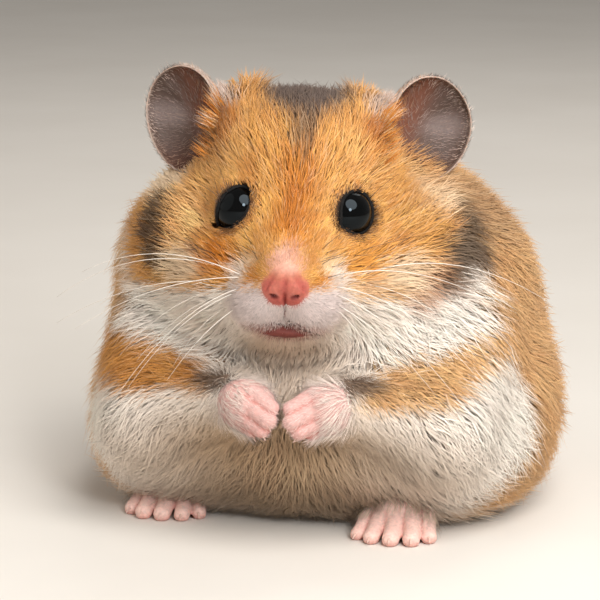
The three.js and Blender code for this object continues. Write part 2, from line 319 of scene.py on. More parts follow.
def coat_depth(p, trunk, head, arm):
    """Depth of the coat: the trunk's, the head's growing backwards from the nose and thin round the eyes and
    ears, and the arm's growing upwards from the wrist, mixed by which part is nearest."""
    m = mirrored(to_head(p))
    on_head = mix(*HEAD_COAT, ease(*NOSE_TO_NAPE, lengths(to_head(p) - NOSE_TIP)))
    on_head = on_head * thinned(lengths(m - EYE_PLACE), *ROUND_EYE)
    on_head = on_head * thinned(lengths((m - EAR_PLACE) / EAR_BREADTH), *ROUND_EAR)
    depth = mix(TRUNK_COAT, on_head, ease(-NECK_COAT_BLEND, NECK_COAT_BLEND, trunk - head))
    from_wrist = lengths(mirrored(p, HANDS_MIDDLE) - np.array(WRIST))
    on_arm = mix(*ARM_COAT, ease(*WRIST_TO_ELBOW, from_wrist))
    return mix(depth, on_arm, ease(-ARM_COAT_BLEND, ARM_COAT_BLEND, np.minimum(trunk, head) - arm))


# ---- the face, in the head's frame ----

NOSE_CORE = ((0, -26.2, -6.9), (2.45, 2.1, 2.7))
NOSE_WINGS = ((1.95, -26.1, -7.9), (1.45, 1.8, 1.5))
NOSE_BASE = ((1.1, -25.9, -9.2), (1.55, 1.6, 1.2))
NOSTRIL = [((1.3, -27.8, -9.25), (1.8, -27.45, -9.0), 0.32, 0.28),
           ((1.8, -27.45, -9.0), (2.5, -27.0, -8.1), 0.2, 0.1)]
NOSE_GROOVE = ((1.9, -27.9, -5.6), (2.75, -27.3, -7.9), 0.2, 0.14)
# Grooves down the middle: half width, and the heights over which each comes in from above and from below.
CLEFT, CLEFT_DEPTH = (0.2, (-8.0, -9.2), (-14.6, -13.6)), 0.25
NOSE_DIP, NOSE_DIP_DEPTH = (0.4, (-4.6, -6.8), (-10.5, -9)), 0.3
MUZZLE_FRONT = (-20, -23)                 # the y over which they come in from the rear
LOWER_LIP = ((0, -23.2, -15.4), (4.4, 1.6, 0.95))
MOUTH_HALF_WIDTH = 5.4
MOUTH_LEVEL, MOUTH_SINK = -13.8, 0.05     # its height in the middle, and how fast it sinks to the sides
MOUTH_REAR = -21.5                        # how far back the slit is cut
MOUTH_GAPE = (0.02, 0.55, 1.0)            # half the gape at the sides, what the middle adds, and its width
FACE_HALF_WIDTH, FACE_REAR, FACE_HEIGHTS = 17, -8, (-22, 12)     # the box that holds the face's fine forms
FACE_SKIN = 6                             # and how far from the skin they reach
LID_CORNERS = {1: (209, 0.1), -1: (227, 0.22)}   # the lids' corner: its angle in degrees and its reach
LID_CORNER_WIDTH = 0.3                    # radians
LID_THICKNESS = 0.28
LID_FADE = (3.2, 0.5)                     # distances from the opening over which the skin comes onto the lids


def mouth_line(x):
    """Height of the mouth's slit: an arch that sinks by the square of x."""
    return MOUTH_LEVEL - MOUTH_SINK * x * x


def middle_groove(q, half_width, top, bottom):
    """1 in a groove down the middle of the face and 0 outside: a bell across x, eased off above and below."""
    return np.exp(-(q[:, 0] / half_width) ** 2) * ease(*top, q[:, 2]) * ease(*bottom, q[:, 2])


def lid_opening(side, around):
    """Radius of the opening between the lids at an angle about the eye's axis: an ellipse, turned by its
    lean, with one pointed corner."""
    across, along, lean = LID_OPENINGS[side]
    turned = around + math.radians(lean)
    oval = across * along / np.sqrt((along * np.cos(turned)) ** 2 + (across * np.sin(turned)) ** 2)
    corner, point = LID_CORNERS[side]
    away = np.angle(np.exp(1j * (around - math.radians(corner))))
    return oval * (1 + point * np.exp(-(away / LID_CORNER_WIDTH) ** 2))


def eye_frame(side):
    """Unit axis of an eye, with a level and an upward direction square to it, in the head's frame."""
    axis = unit(np.array(EYE_AXES[side]))
    level = unit(np.cross([0, 0, 1], axis))
    return axis, level, np.cross(axis, level)


def about_eye(q, side):
    """Each point's height along an eye's axis and its distance outside the opening between the lids."""
    axis, level, up = eye_frame(side)
    rel = q - on_side(side, EYE_PLACE)
    along = rel @ axis
    across = rel - along[:, None] * axis
    around = np.arctan2(across @ up, across @ level)
    return along, lengths(across) - lid_opening(side, around)


def lid_gap(q):
    """Distance of each point outside the nearer opening between the lids, measured across that eye's axis."""
    gap = np.full(len(q), FAR)
    for side in (1, -1):
        along, outside = about_eye(q, side)
        gap = np.minimum(gap, np.where(along > 0, outside, FAR))
    return gap


def eye_hole(q, side):
    """Distance to the hole in the skin over an eyeball: a cylinder along its axis with the lids' outline."""
    along, outside = about_eye(q, side)
    return np.maximum(outside, 0.3 - along)


def lid_sphere(q, side):
    """Distance to the sphere that the lids make over an eyeball."""
    return lengths(q - on_side(side, EYE_PLACE)) - (EYE_RADIUS + LID_THICKNESS)


def with_lids(q, skin):
    """The skin's distance, drawn onto the lids' spheres round the openings."""
    for side in (1, -1):
        along, outside = about_eye(q, side)
        near = ease(*LID_FADE, outside) * ease(-0.5, 1.0, along)
        skin = mix(skin, lid_sphere(q, side), near)
    return skin


def with_face(q, skin):
    """The skin's distance with the nose, nostrils, cleft lip, mouth and eye holes worked into it."""
    m = mirrored(q)
    nose = joined(ellipsoid_distance(q, *NOSE_CORE), ellipsoid_distance(m, *NOSE_WINGS), 0.9)
    nose = joined(nose, ellipsoid_distance(m, *NOSE_BASE), 0.7)
    skin = joined(skin, nose, 0.9)
    grooves = CLEFT_DEPTH * middle_groove(q, *CLEFT) + NOSE_DIP_DEPTH * middle_groove(q, *NOSE_DIP)
    skin = skin + grooves * ease(*MUZZLE_FRONT, q[:, 1])
    for bar in NOSTRIL:
        skin = less(skin, taper_distance(m, *bar), 0.25)
    skin = less(skin, taper_distance(m, *NOSE_GROOVE), 0.5)
    least, more, breadth = MOUTH_GAPE
    gape = least + more * np.exp(-(q[:, 0] / breadth) ** 2)
    slit = np.maximum(np.abs(q[:, 2] - mouth_line(q[:, 0])) - gape, m[:, 0] - MOUTH_HALF_WIDTH)
    skin = less(skin, np.maximum(slit, q[:, 1] - MOUTH_REAR), 0.35)
    skin = joined(skin, ellipsoid_distance(q, *LOWER_LIP), 0.5)
    skin = with_lids(q, skin)
    for side in (1, -1):
        skin = less(skin, eye_hole(q, side), 0.2)
    return skin


def skin_distance(p):
    """Distance to the skin: the coat's tips sunk by its depth, with face, tail and a flat underside."""
    whole, trunk, head, arm = coat_distance(p)
    skin = whole + coat_depth(p, trunk, head, arm)
    q = to_head(p)
    face = (np.abs(skin) < FACE_SKIN) & (q[:, 1] < FACE_REAR) & (np.abs(q[:, 0]) < FACE_HALF_WIDTH)
    face = face & (q[:, 2] > FACE_HEIGHTS[0]) & (q[:, 2] < FACE_HEIGHTS[1])
    skin[face] = with_face(q[face], skin[face])
    skin = joined(skin, taper_distance(p, *TAIL), 1.5)
    return -joined(-skin, p[:, 2] - SKIN_FLOOR, 2.0)


def joint_swell(q, root, tip, size):
    """How far a finger or toe stands out: size times a cosine that turns twice between its root and tip."""
    axis = np.asarray(tip, float) - root
    along = np.clip((q - root) @ axis / (axis @ axis), 0, 1)
    return size * np.cos(along * 4 * math.pi)


def finger_distance(q, finger):
    """Distance to one finger: a taper that swells a little at its two joints."""
    knuckle, tip, thick, thin = finger
    return taper_distance(q, knuckle, tip, thick, thin) - joint_swell(q, knuckle, tip, FINGER_SWELL)


def hand_distance(p):
    """Distance to the hands: a palm, four fingers and a stub of the wrist, the same on both sides."""
    q = mirrored(p, HANDS_MIDDLE)
    hand = joined(ellipsoid_distance(q, *PALM), taper_distance(q, *WRIST_STUB), 2)
    for finger in FINGERS:
        hand = joined(hand, finger_distance(q, finger), 0.35)
    return hand


def on_foot(p, side):
    """Points in the foot's frame: x outwards from the middle of the toes, y backwards, z from the floor."""
    x, y = FOOT_PLACES["left" if side > 0 else "right"]
    return (p - np.array([x, y, -SOLE_SINK])) * np.array([side, 1, 1])


def toe_root(tip):
    """Where a toe leaves the sole: nearer to the foot's middle than its tip, and further back."""
    across, back, up = TOE_ROOT
    return tip[0] * across, back, up


def plain_toe_distance(q, tip, radius):
    """Distance to one toe without its joints, a taper from the sole to its tip."""
    return taper_distance(q, toe_root(tip), tip, radius + TOE_THICKER, radius)


def foot_distance(p, side):
    """Distance to a foot: a tapering sole and five toes, flat where they meet the floor."""
    q = on_foot(p, side)
    foot = taper_distance(q, *SOLE)
    for tip, radius in TOES:
        toe = plain_toe_distance(q, tip, radius) - joint_swell(q, toe_root(tip), tip, TOE_SWELL)
        foot = joined(foot, toe, 0.5)
    return -joined(-foot, p[:, 2], 0.2)


# ---- surfaces ----

GRID_GROWTH = 0.13                        # how much a grid's step grows for each mm away from a fine span
SLAB = 16                                 # grid planes whose distances are worked out at once
SETTLING_STEPS, SETTLING_REACH = 2, 0.3   # steps that draw a wrapped point onto its form, and the longest one
SLOPE_STEP = 0.06


def graded_lines(low, high, fine_spans, coarse):
    """Grid lines from low to high: the step is that of the finest span near it, growing with the distance
    from that span, and never more than coarse. A span is (start, end, step)."""
    lines = [low]
    while lines[-1] < high:
        here = lines[-1]
        steps = [step + GRID_GROWTH * max(start - here, here - end, 0) for start, end, step in fine_spans]
        lines.append(here + min([coarse, *steps]))
    return np.array(lines, np.float32)


def even_lines(low, high, step):
    """Grid lines from low to high, all the given step apart."""
    return graded_lines(low, high, [(low, high, step)], step)


CELL_EDGES = [((a, b), axis) for axis in range(3) for a in np.ndindex(2, 2, 2)
              for b in [tuple(v + (i == axis) for i, v in enumerate(a))] if a[axis] == 0]


def on_grid(distance, lines):
    """The distance at every point of a grid, a slab of planes at a time."""
    shape = tuple(len(line) for line in lines)
    value = np.empty(shape, np.float32)
    yz = np.stack(np.meshgrid(lines[1], lines[2], indexing="ij"), -1).reshape(-1, 2)
    for start in range(0, shape[0], SLAB):
        xs = lines[0][start:start + SLAB]
        slab = np.concatenate([np.repeat(xs, len(yz))[:, None], np.tile(yz, (len(xs), 1))], axis=1)
        value[start:start + SLAB] = distance(slab).reshape(len(xs), shape[1], shape[2])
    return value


def crossed_cells(inside):
    """Grid cells with corners both inside the form and outside it, and each cell's number, -1 elsewhere."""
    nx, ny, nz = (size - 1 for size in inside.shape)
    corners = np.stack([inside[a:nx + a, b:ny + b, c:nz + c] for a, b, c in np.ndindex(2, 2, 2)])
    crossed = corners.any(0) & ~corners.all(0)
    cells = np.argwhere(crossed)
    number = np.full(crossed.shape, -1, np.int32)
    number[crossed] = np.arange(len(cells))
    return cells, number


def cell_points(value, cells, lines):
    """A point in each cell: the mean of the places where the form's surface crosses the cell's edges."""
    total = np.zeros((len(cells), 3), np.float32)
    count = np.zeros(len(cells), np.float32)
    for (a, b), _ in CELL_EDGES:
        ends = [tuple((cells + end).T) for end in (a, b)]
        va, vb = value[ends[0]], value[ends[1]]
        cut = (va < 0) != (vb < 0)
        t = np.where(cut, va / np.where(cut, va - vb, 1), 0)[:, None]
        pa, pb = (np.stack([lines[i][end[i]] for i in range(3)], -1) for end in ends)
        total += np.where(cut[:, None], pa + (pb - pa) * t, 0)
        count += cut
    return total / count[:, None]


def edge_quads(inside, number, axis):
    """A quad round each of the grid's edges along one axis that the surface crosses, through the four cells
    that share the edge, turned to face outwards."""
    low = [slice(1, -1)] * 3
    low[axis] = slice(0, -1)
    high = list(low)
    high[axis] = slice(1, None)
    start, end = inside[tuple(low)], inside[tuple(high)]
    edge = np.argwhere(start != end)
    outward = start[tuple(edge.T)]
    edge = edge + [int(i != axis) for i in range(3)]
    u, v = (axis + 1) % 3, (axis + 2) % 3
    ring = []
    for du, dv in ((-1, -1), (0, -1), (0, 0), (-1, 0)):
        cell = edge.copy()
        cell[:, u] += du
        cell[:, v] += dv
        ring.append(number[tuple(cell.T)])
    ring = np.stack(ring, -1)
    return np.where(outward[:, None], ring, ring[:, ::-1])


def wrapped_surface(distance, lines):
    """Closed surface of a form by surface nets: a point in each grid cell that the surface crosses, a quad
    round each crossed edge, and then Newton's steps down the distance's slope. Returns (points, quads)."""
    value = on_grid(distance, lines)
    inside = value < 0
    cells, number = crossed_cells(inside)
    points = cell_points(value, cells, lines)
    for _ in range(SETTLING_STEPS):
        here, slope = distance_and_slope(distance, points)
        steepness = np.maximum((slope * slope).sum(-1), 0.25)
        step = np.clip(here / steepness, -SETTLING_REACH, SETTLING_REACH)
        points = points - step[:, None] * slope
    return points, np.concatenate([edge_quads(inside, number, axis) for axis in range(3)])


def distance_and_slope(distance, p):
    """The distance at each point and its gradient, from one more value a small step along each axis."""
    here = distance(p)
    ways = SLOPE_STEP * np.eye(3, dtype=np.float32)
    slope = np.stack([(distance(p + way) - here) / SLOPE_STEP for way in ways], -1)
    return here, slope


def grid_quads(rows, columns):
    """Quads of a grid whose columns go round and close on themselves."""
    r, c = np.meshgrid(np.arange(rows - 1), np.arange(columns), indexing="ij")
    n = (c + 1) % columns
    quads = np.stack([r * columns + c, r * columns + n, (r + 1) * columns + n, (r + 1) * columns + c], -1)
    return quads.reshape(-1, 4)


def closed_tube(rings, outward=True):
    """Mesh of rings (rows, columns, 3) with a fan over each end: (points, quads, triangles)."""
    rows, columns = rings.shape[:2]
    points = np.concatenate([rings.reshape(-1, 3), rings[0].mean(0)[None], rings[-1].mean(0)[None]])
    quads = grid_quads(rows, columns)
    here = np.arange(columns)
    after = (here + 1) % columns
    last = (rows - 1) * columns
    first_fan = np.stack([np.full(columns, rows * columns), after, here], -1)
    last_fan = np.stack([np.full(columns, rows * columns + 1), last + here, last + after], -1)
    triangles = np.concatenate([first_fan, last_fan])
    if not outward:
        quads, triangles = quads[:, ::-1], triangles[:, ::-1]
    return points, quads, triangles


def closed_ring(rings):
    """Mesh of rings whose rows close on themselves too, as a torus does: (points, quads, no triangles)."""
    rows, columns = rings.shape[:2]
    quads = grid_quads(rows + 1, columns) % (rows * columns)
    return rings.reshape(-1, 3), quads, np.zeros((0, 3), int)


# ---- meshes ----

eye_middle = np.mean([np.mean(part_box(f"eye_{side}"), axis=0) for side in ("left", "right")], axis=0) / MM
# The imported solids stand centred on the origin; this takes a place in the drawing to its place there.
DRAWN_TO_ROW = eye_middle - from_head(np.array([0.0, EYE_PLACE[1], EYE_PLACE[2]]))


def tone(red, green, blue):
    """A colour given on the 0 to 255 scale of a screen, as linear light."""
    c = np.array([red, green, blue]) / 255
    return np.where(c <= 0.04045, c / 12.92, ((c + 0.055) / 1.055) ** 2.4)


def make_piece(name, points, quads, triangles, material, slot, nodes=(), colours=None, normals=None,
               uv=None):
    """Puts arrays into a mesh object, in metres, and says what it rides on, replaces and is finished as."""
    mesh = bpy.data.meshes.new(name)
    corners = np.concatenate([quads.ravel(), triangles.ravel()]).astype(np.int32)
    starts = np.concatenate([np.arange(len(quads)) * 4, len(quads) * 4 + np.arange(len(triangles)) * 3])
    mesh.vertices.add(len(points))
    mesh.loops.add(len(corners))
    mesh.polygons.add(len(starts))
    mesh.vertices.foreach_set("co", ((points + DRAWN_TO_ROW) * MM).astype(np.float32).ravel())
    mesh.loops.foreach_set("vertex_index", corners)
    mesh.polygons.foreach_set("loop_start", starts.astype(np.int32))
    mesh.update(calc_edges=True)
    mesh.shade_smooth()
    if colours is not None:
        layer = mesh.attributes.new("coat_colour", "FLOAT_COLOR", "POINT")
        layer.data.foreach_set("color", np.c_[colours, np.ones(len(colours))].astype(np.float32).ravel())
    if uv is not None:
        layer = mesh.uv_layers.new(name="OFBake")
        layer.data.foreach_set("uv", uv.astype(np.float32).ravel())
    if normals is not None:
        layer = mesh.attributes.new("custom_normal", "FLOAT_VECTOR", "POINT")
        layer.data.foreach_set("vector", normals.astype(np.float32).ravel())
    piece = bpy.data.objects.new(name, mesh)
    bpy.context.collection.objects.link(piece)
    mesh.materials.append(material)
    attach(piece, "root")
    if nodes:
        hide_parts(*nodes)


# ---- finishes ----


NOISE_LOW, NOISE_HIGH = 0.3, 0.7          # most of a noise's values lie between these


def shader(name, **sockets):
    """A new material whose shader's sockets are set: (material, nodes, links, shader node)."""
    material = bpy.data.materials.new(name)
    material.use_nodes = True
    nodes, links = material.node_tree.nodes, material.node_tree.links
    principled = nodes["Principled BSDF"]
    for socket, value in sockets.items():
        principled.inputs[socket.replace("_", " ")].default_value = value
    return material, nodes, links, principled


def speckle(nodes, links, size, detail=3.0, stretch=(1, 1, 1)):
    """Noise on the object's own coordinates; size is the width of its spots in millimetres."""
    place = nodes.new("ShaderNodeTexCoord")
    mapping = nodes.new("ShaderNodeMapping")
    mapping.inputs["Scale"].default_value = stretch
    noise = nodes.new("ShaderNodeTexNoise")
    noise.inputs["Scale"].default_value = 1 / (size * MM)
    noise.inputs["Detail"].default_value = detail
    links.new(place.outputs["Object"], mapping.inputs["Vector"])
    links.new(mapping.outputs["Vector"], noise.inputs["Vector"])
    return noise.outputs["Fac"]


def ranged(nodes, links, value, low, high, from_low=NOISE_LOW, from_high=NOISE_HIGH):
    """A value taken from one range to another."""
    remap = nodes.new("ShaderNodeMapRange")
    limits = {"From Min": from_low, "From Max": from_high, "To Min": low, "To Max": high}
    for socket, number in limits.items():
        remap.inputs[socket].default_value = number
    links.new(value, remap.inputs["Value"])
    return remap.outputs["Result"]


def bumped(nodes, links, principled, height, depth):
    """Bump of the given depth in millimetres from a height between 0 and 1."""
    bump = nodes.new("ShaderNodeBump")
    bump.inputs["Strength"].default_value = 1.0
    bump.inputs["Distance"].default_value = depth * MM
    links.new(height, bump.inputs["Height"])
    links.new(bump.outputs["Normal"], principled.inputs["Normal"])


def shaded_attribute(nodes, links, principled, value):
    """The mesh's own colour, made lighter and darker by a value. Returns the colour's lightness."""
    own = nodes.new("ShaderNodeAttribute")
    own.attribute_name = "coat_colour"
    tint = nodes.new("ShaderNodeMix")
    tint.data_type = "RGBA"
    tint.blend_type = "MULTIPLY"
    tint.inputs["Factor"].default_value = 1.0
    grey = nodes.new("ShaderNodeCombineColor")
    for channel in ("Red", "Green", "Blue"):
        links.new(value, grey.inputs[channel])
    colour_in = [s for s in tint.inputs if s.type == "RGBA"]
    links.new(own.outputs["Color"], colour_in[0])
    links.new(grey.outputs["Color"], colour_in[1])
    colour_out = [s for s in tint.outputs if s.type == "RGBA"][0]
    links.new(colour_out, principled.inputs["Base Color"])
    return own.outputs["Fac"]


def coat_finish():
    """Hair: the mesh's colour with faint mottling, a soft gloss that varies, and a fine upright grain."""
    material, nodes, links, principled = shader(
        "coat_hair", Specular_IOR_Level=0.16, Sheen_Weight=0.03, Sheen_Roughness=0.5)
    shaded_attribute(nodes, links, principled, ranged(nodes, links, speckle(nodes, links, 1.2), 0.92, 1.08))
    links.new(ranged(nodes, links, speckle(nodes, links, 2.5), 0.5, 0.72), principled.inputs["Roughness"])
    bumped(nodes, links, principled, speckle(nodes, links, 0.12, 2.0, (1, 1, 0.35)), 0.02)
    return material


def skin_finish():
    """Skin: the mesh's colour with faint blotches, fine creases, a gloss that is weaker on dark skin, and
    light scattered inside."""
    material, nodes, links, principled = shader(
        "soft_skin", Specular_IOR_Level=0.35, Subsurface_Weight=0.2, Subsurface_Scale=0.4 * MM,
        Subsurface_Radius=(1.0, 0.4, 0.3))
    blotches = ranged(nodes, links, speckle(nodes, links, 0.45, 4.0), 0.86, 1.13)
    lightness = shaded_attribute(nodes, links, principled, blotches)
    rough = nodes.new("ShaderNodeMath")
    rough.operation = "ADD"
    links.new(ranged(nodes, links, speckle(nodes, links, 0.6), 0.46, 0.68), rough.inputs[0])
    links.new(ranged(nodes, links, lightness, 0.3, 0.0, 0.01, 0.06), rough.inputs[1])
    links.new(rough.outputs["Value"], principled.inputs["Roughness"])
    bumped(nodes, links, principled, speckle(nodes, links, 0.22, 3.0, (1, 1, 1.8)), 0.07)
    return material


def between_tones(nodes, links, principled, dark, light, size):
    """A base colour that goes from a dark tone to a light one with noise in spots of the given size."""
    ramp = nodes.new("ShaderNodeValToRGB")
    ramp.color_ramp.elements[0].color = (*dark, 1)
    ramp.color_ramp.elements[1].color = (*light, 1)
    links.new(speckle(nodes, links, size), ramp.inputs["Fac"])
    links.new(ramp.outputs["Color"], principled.inputs["Base Color"])


def eye_finish():
    """Eyeball: a nearly black brown with a wet gloss that mirrors a little bluish."""
    material, nodes, links, principled = shader(
        "dark_eye", Roughness=0.03, Specular_IOR_Level=0.2, Specular_Tint=(0.72, 0.88, 1.0, 1))
    between_tones(nodes, links, principled, tone(3, 3, 3), tone(9, 7, 6), 1.5)
    return material


def horn_finish(name, dark, light, roughness, spot):
    """Claw or whisker: a colour between two tones by noise, with a varying gloss and fine ridges."""
    material, nodes, links, principled = shader(name, Specular_IOR_Level=0.5)
    between_tones(nodes, links, principled, dark, light, spot)
    links.new(ranged(nodes, links, speckle(nodes, links, spot / 2), *roughness),
              principled.inputs["Roughness"])
    bumped(nodes, links, principled, speckle(nodes, links, spot / 4), 0.01)
    return material


# ---- markings ----

BACK_GOLD, BACK_GREY, SIDE_TAN = tone(204, 152, 98), tone(140, 108, 80), tone(212, 166, 116)
HEAD_ORANGE, DEEP_ORANGE, BROWN_ORANGE = tone(213, 152, 82), tone(190, 110, 26), tone(176, 102, 38)
HEAD_GOLD, CHEEK_GOLD, SHOULDER_ORANGE = tone(234, 182, 120), tone(224, 154, 70), tone(202, 138, 68)
# The crease grey is painted shade for the folds above the hands.
SHOULDER_GOLD, CREASE_SHADE = tone(218, 170, 116), tone(98, 74, 56)
# The front's and belly's darker tones and the beige are cream fur with painted shade.
WHITE, CREAM, FRONT_SHADE = tone(250, 237, 224), tone(242, 213, 178), tone(182, 149, 114)
LIP_WHITE, SHADED_BEIGE, BELLY_SHADE = tone(218, 200, 194), tone(212, 187, 162), tone(128, 101, 72)
CROWN_GREY, STRIPE_LEFT, STRIPE_RIGHT = tone(92, 74, 64), tone(94, 76, 60), tone(76, 56, 38)
BRIDGE_PINK, NOSE_PINK, NOSE_RED = tone(220, 164, 142), tone(188, 104, 88), tone(164, 72, 64)
# Lip and nostril reds are the skin's red darkened as painted shade in hollows and under the upper lip.
LIP_SHADE_RED, HOLLOW_SHADE_RED = tone(108, 48, 40), tone(104, 30, 26)
# The hand crease is the redder painted shade between fingers and toes and under the paws.
HAND_PINK, PAW_CREASE_SHADE, FOOT_PINK = tone(218, 172, 164), tone(192, 108, 98), tone(240, 200, 188)
EAR_INSIDE, EAR_DEEP, EAR_LILAC = tone(90, 72, 64), tone(124, 74, 54), tone(150, 134, 130)
EAR_BACK, EAR_RIM = tone(178, 156, 144), tone(214, 190, 174)
EAR_ROOT = tone(208, 184, 168)
# The lids' brown is painted shade on the hair round them; the dark is the lids' own skin.
LID_DARK, LID_SHADE_BROWN = tone(11, 8, 7), tone(78, 46, 30)


def painted(colours, new, mask):
    """The colours with a new one laid over them as strongly as the mask says."""
    return mix(colours, new, mask[:, None])


def patch(p, centre, radii, soft):
    """1 inside an ellipsoid and 0 outside, fading over a part of its size."""
    return ease(1 + soft, 1 - soft, lengths((p - np.asarray(centre)) / np.asarray(radii)))


def band(p, start, end, thick, thin, soft):
    """1 inside a tapering bar and 0 outside, fading over soft millimetres."""
    return ease(soft, -soft, taper_distance(p, start, end, thick, thin))


def patched(colours, p, marks):
    """The colours with soft patches laid over them in turn, each (tone, share, centre, radii, softness)."""
    for new, share, centre, radii, soft in marks:
        colours = painted(colours, new, share * patch(p, centre, radii, soft))
    return colours


NECK_SHADE = [(BACK_GREY, 0.55, (27, 1, 50), (7, 10, 8), 0.5)]             # behind and under the left ear
# Painted shade on the cream underside, between the haunches, under the hands, low down and on the breast.
BELLY_MARKS = [
    (SHADED_BEIGE, 0.8, (0, -36, 10), (27, 18, 13), 0.45),                    # between the haunches
    (FRONT_SHADE, 0.9, (-1, -38, 14), (14, 16, 9), 0.6),                    # under the hands
    (BELLY_SHADE, 0.7, (-2, -32, 4), (24, 14, 5.5), 0.5),                   # low on the belly
    (FRONT_SHADE, 0.6, (1.2, -34, 30), (9, 9, 4.5), 0.5),                   # on the breast, over the hands
]
# Painted shade in the fold of the fur above each hand.
WRIST_MARKS = [(CREASE_SHADE, 0.95, centre, (5.0, 4.5, 1.7), 0.5)
               for centre in ((12.3, -38.0, 27.4), (-11.0, -37.5, 26.9))]
# The dark stripes behind the cheeks, in the head's frame: (from, to, thick end, thin end, softness).
LEFT_STRIPE = [((28.7, 3, 1.5), (28.2, -3, -4.5), 2.0, 4.2, 2.0),
               ((27.2, -6, -4.8), (26.0, -8.5, -9.5), 3.9, 2.2, 2.0)]
LEFT_STRIPE_END = ((25.8, -9, -9.0), (21.4, -13.4, -12.4), 3.0, 1.4, 1.6)
RIGHT_STRIPE = [((-22.8, -4, 4.5), (-24.0, -7, -1.5), 2.6, 4.2, 1.0),
                ((-24.0, -7, -1.5), (-22.8, -10, -9.5), 4.2, 2.0, 1.0)]


def white_below(colour, p):
    """White over the flanks, the underside and the collar. A flank's white reaches furthest back halfway up,
    and the collar's further back with height, in one step on the left and evenly on the right."""
    x, y, z = p.T
    flank_rear = np.maximum(-13.5 - 0.07 * (z - 19) ** 2, -22.5)
    colour = painted(colour, WHITE, ease(1.6, -1.6, y - flank_rear) * ease(30, 26, z))
    colour = painted(colour, WHITE, ease(4, 1, z) * ease(10, -10, y))
    collar_rear = np.where(x > 0, np.where(z > 37, -13.0, -16.5), -18.3 + 0.6 * np.maximum(z - 36, 0))
    return painted(colour, WHITE, ease(1.8, -1.8, y - collar_rear) * ease(25, 28, z) * ease(50, 46, z))


def shoulder_bands(colour, p):
    """The golden band over each upper arm, level near the breast, whose edges rise or sink outwards."""
    x, y, z = p.T
    out = np.abs(x)
    top = np.where(x > 0, 27.4 + 0.27 * np.maximum(out - 14, 0), 27.8 + 0.12 * np.maximum(out - 10, 0))
    bottom = np.where(x > 0, 23.2 + 0.8 * np.maximum(out - 26, 0), 24.8 - 0.12 * np.maximum(out - 10, 0))
    inside = ease(1.2, -1.2, np.maximum(z - top, bottom - z)) * ease(-11, -15, y) * ease(10, 15, out)
    return painted(colour, mix(SHOULDER_ORANGE, SHOULDER_GOLD, ease(-5, 5, x)[:, None]), inside)


def coat_marks(p, on_head):
    """The coat's colour at a place: golden above and behind, white below, with the bands of a golden hamster,
    and dark stripes that start behind the cheeks and run down them; painted shade darkens the belly, the
    breast and the folds above the hands."""
    x, y, z = p.T
    colour = np.broadcast_to(BACK_GOLD, p.shape).copy()
    colour = painted(colour, SIDE_TAN, 0.75 * ease(14, 30, np.abs(x)) * ease(16, 4, y))
    colour = painted(colour, BACK_GREY, 0.6 * np.exp(-(x / 10) ** 2) * ease(0, 14, y) * ease(12, 30, z))
    colour = patched(colour, p, NECK_SHADE)
    colour = white_below(colour, p)
    colour = patched(colour, p, BELLY_MARKS)
    colour = shoulder_bands(colour, p)
    colour = patched(colour, p, WRIST_MARKS)
    q = to_head(p)
    colour = mix(colour, head_marks(q), on_head[:, None])
    left, right = (np.maximum(*(band(q, *bar) for bar in stripe)) for stripe in (LEFT_STRIPE, RIGHT_STRIPE))
    colour = painted(colour, BROWN_ORANGE * 0.7, 0.75 * band(q, *LEFT_STRIPE_END))
    return painted(painted(colour, STRIPE_LEFT, 0.95 * left), STRIPE_RIGHT, 0.95 * right)


# Marks of the head, in its own frame: (tone, share, side, centre, radii, softness), laid on in this order.
# A "single" mark lies just where it says; the others give the place on the left side.
BROW_MARKS = [
    (HEAD_GOLD, 0.4, "both", (12.5, -9, 11), (4.5, 8, 5.0), 0.6),               # brow
    (HEAD_GOLD, 0.7, "right", (17, -10, -2), (5, 8, 4.0), 0.5),                 # temple
]
DEEP_MARKS = [
    (DEEP_ORANGE, 0.7, "both", (5.3, -24.6, -6.3), (1.7, 2.5, 1.5), 0.5),       # beside the nose
    (BROWN_ORANGE, 0.8, "both", (13.2, -5.5, 14.2), (3.0, 5.5, 5.0), 0.5),      # before the ear
]
CHEEK_MARKS = [
    (CREAM, 0.9, "both", (18.6, -14, -7.6), (5, 5.5, 3.0), 0.5),                # cheek
    (CREAM, 1.0, "both", (24, 1, 3.4), (6.0, 10, 3.2), 0.4),                    # under the ear
    (CREAM, 0.6, "single", (12.4, -19.6, -8.9), (4, 4, 2.0), 0.5),              # beside the left whisker pad
    (HEAD_GOLD, 0.6, "right", (20, -9, 1.5), (6, 8, 5.0), 0.5),                 # behind the eye
    # Painted shade: a darker copy of the head's orange behind the left eye, where the key lamp falls most.
    (HEAD_ORANGE * 0.78, 0.8, "left", (20, -9, 3), (6, 8, 6.0), 0.6),           # behind the eye
    (EAR_ROOT, 0.8, "both", (13.0, 0.8, 17.4), (2.9, 5.0, 2.4), 0.4),           # root of the ear
]
BRIDGE_MARKS = [
    (BRIDGE_PINK, 0.95, "single", (0, -25.8, -3.6), (2.3, 3.6, 2.9), 0.5),      # bridge of the nose
    (CREAM, 0.6, "both", (6.8, -21.8, -4.6), (2.5, 3.0, 1.2), 0.5),             # between eye and nose
]
# Painted shade under the chin; round the lower lip, the lip's red and the upper lip's painted shadow.
CHIN_MARKS = [
    (SHADED_BEIGE, 0.9, "single", (0, -20, -18.5), (8, 9, 4.0), 0.5),             # under the chin
    (LIP_SHADE_RED * 1.9, 0.8, "single", (0, -23.6, -15.2), (6.0, 3, 1.1), 0.6),      # round the lower lip
]


def head_patched(colours, q, marks):
    """The colours with the head's soft patches laid over them in turn."""
    m = mirrored(q)
    weights = {"both": 1.0, "single": 1.0, "left": ease(-4, 4, q[:, 0]), "right": ease(4, -4, q[:, 0])}
    for new, share, side, centre, radii, soft in marks:
        mask = share * weights[side] * patch(q if side == "single" else m, centre, radii, soft)
        colours = painted(colours, new, mask)
    return colours


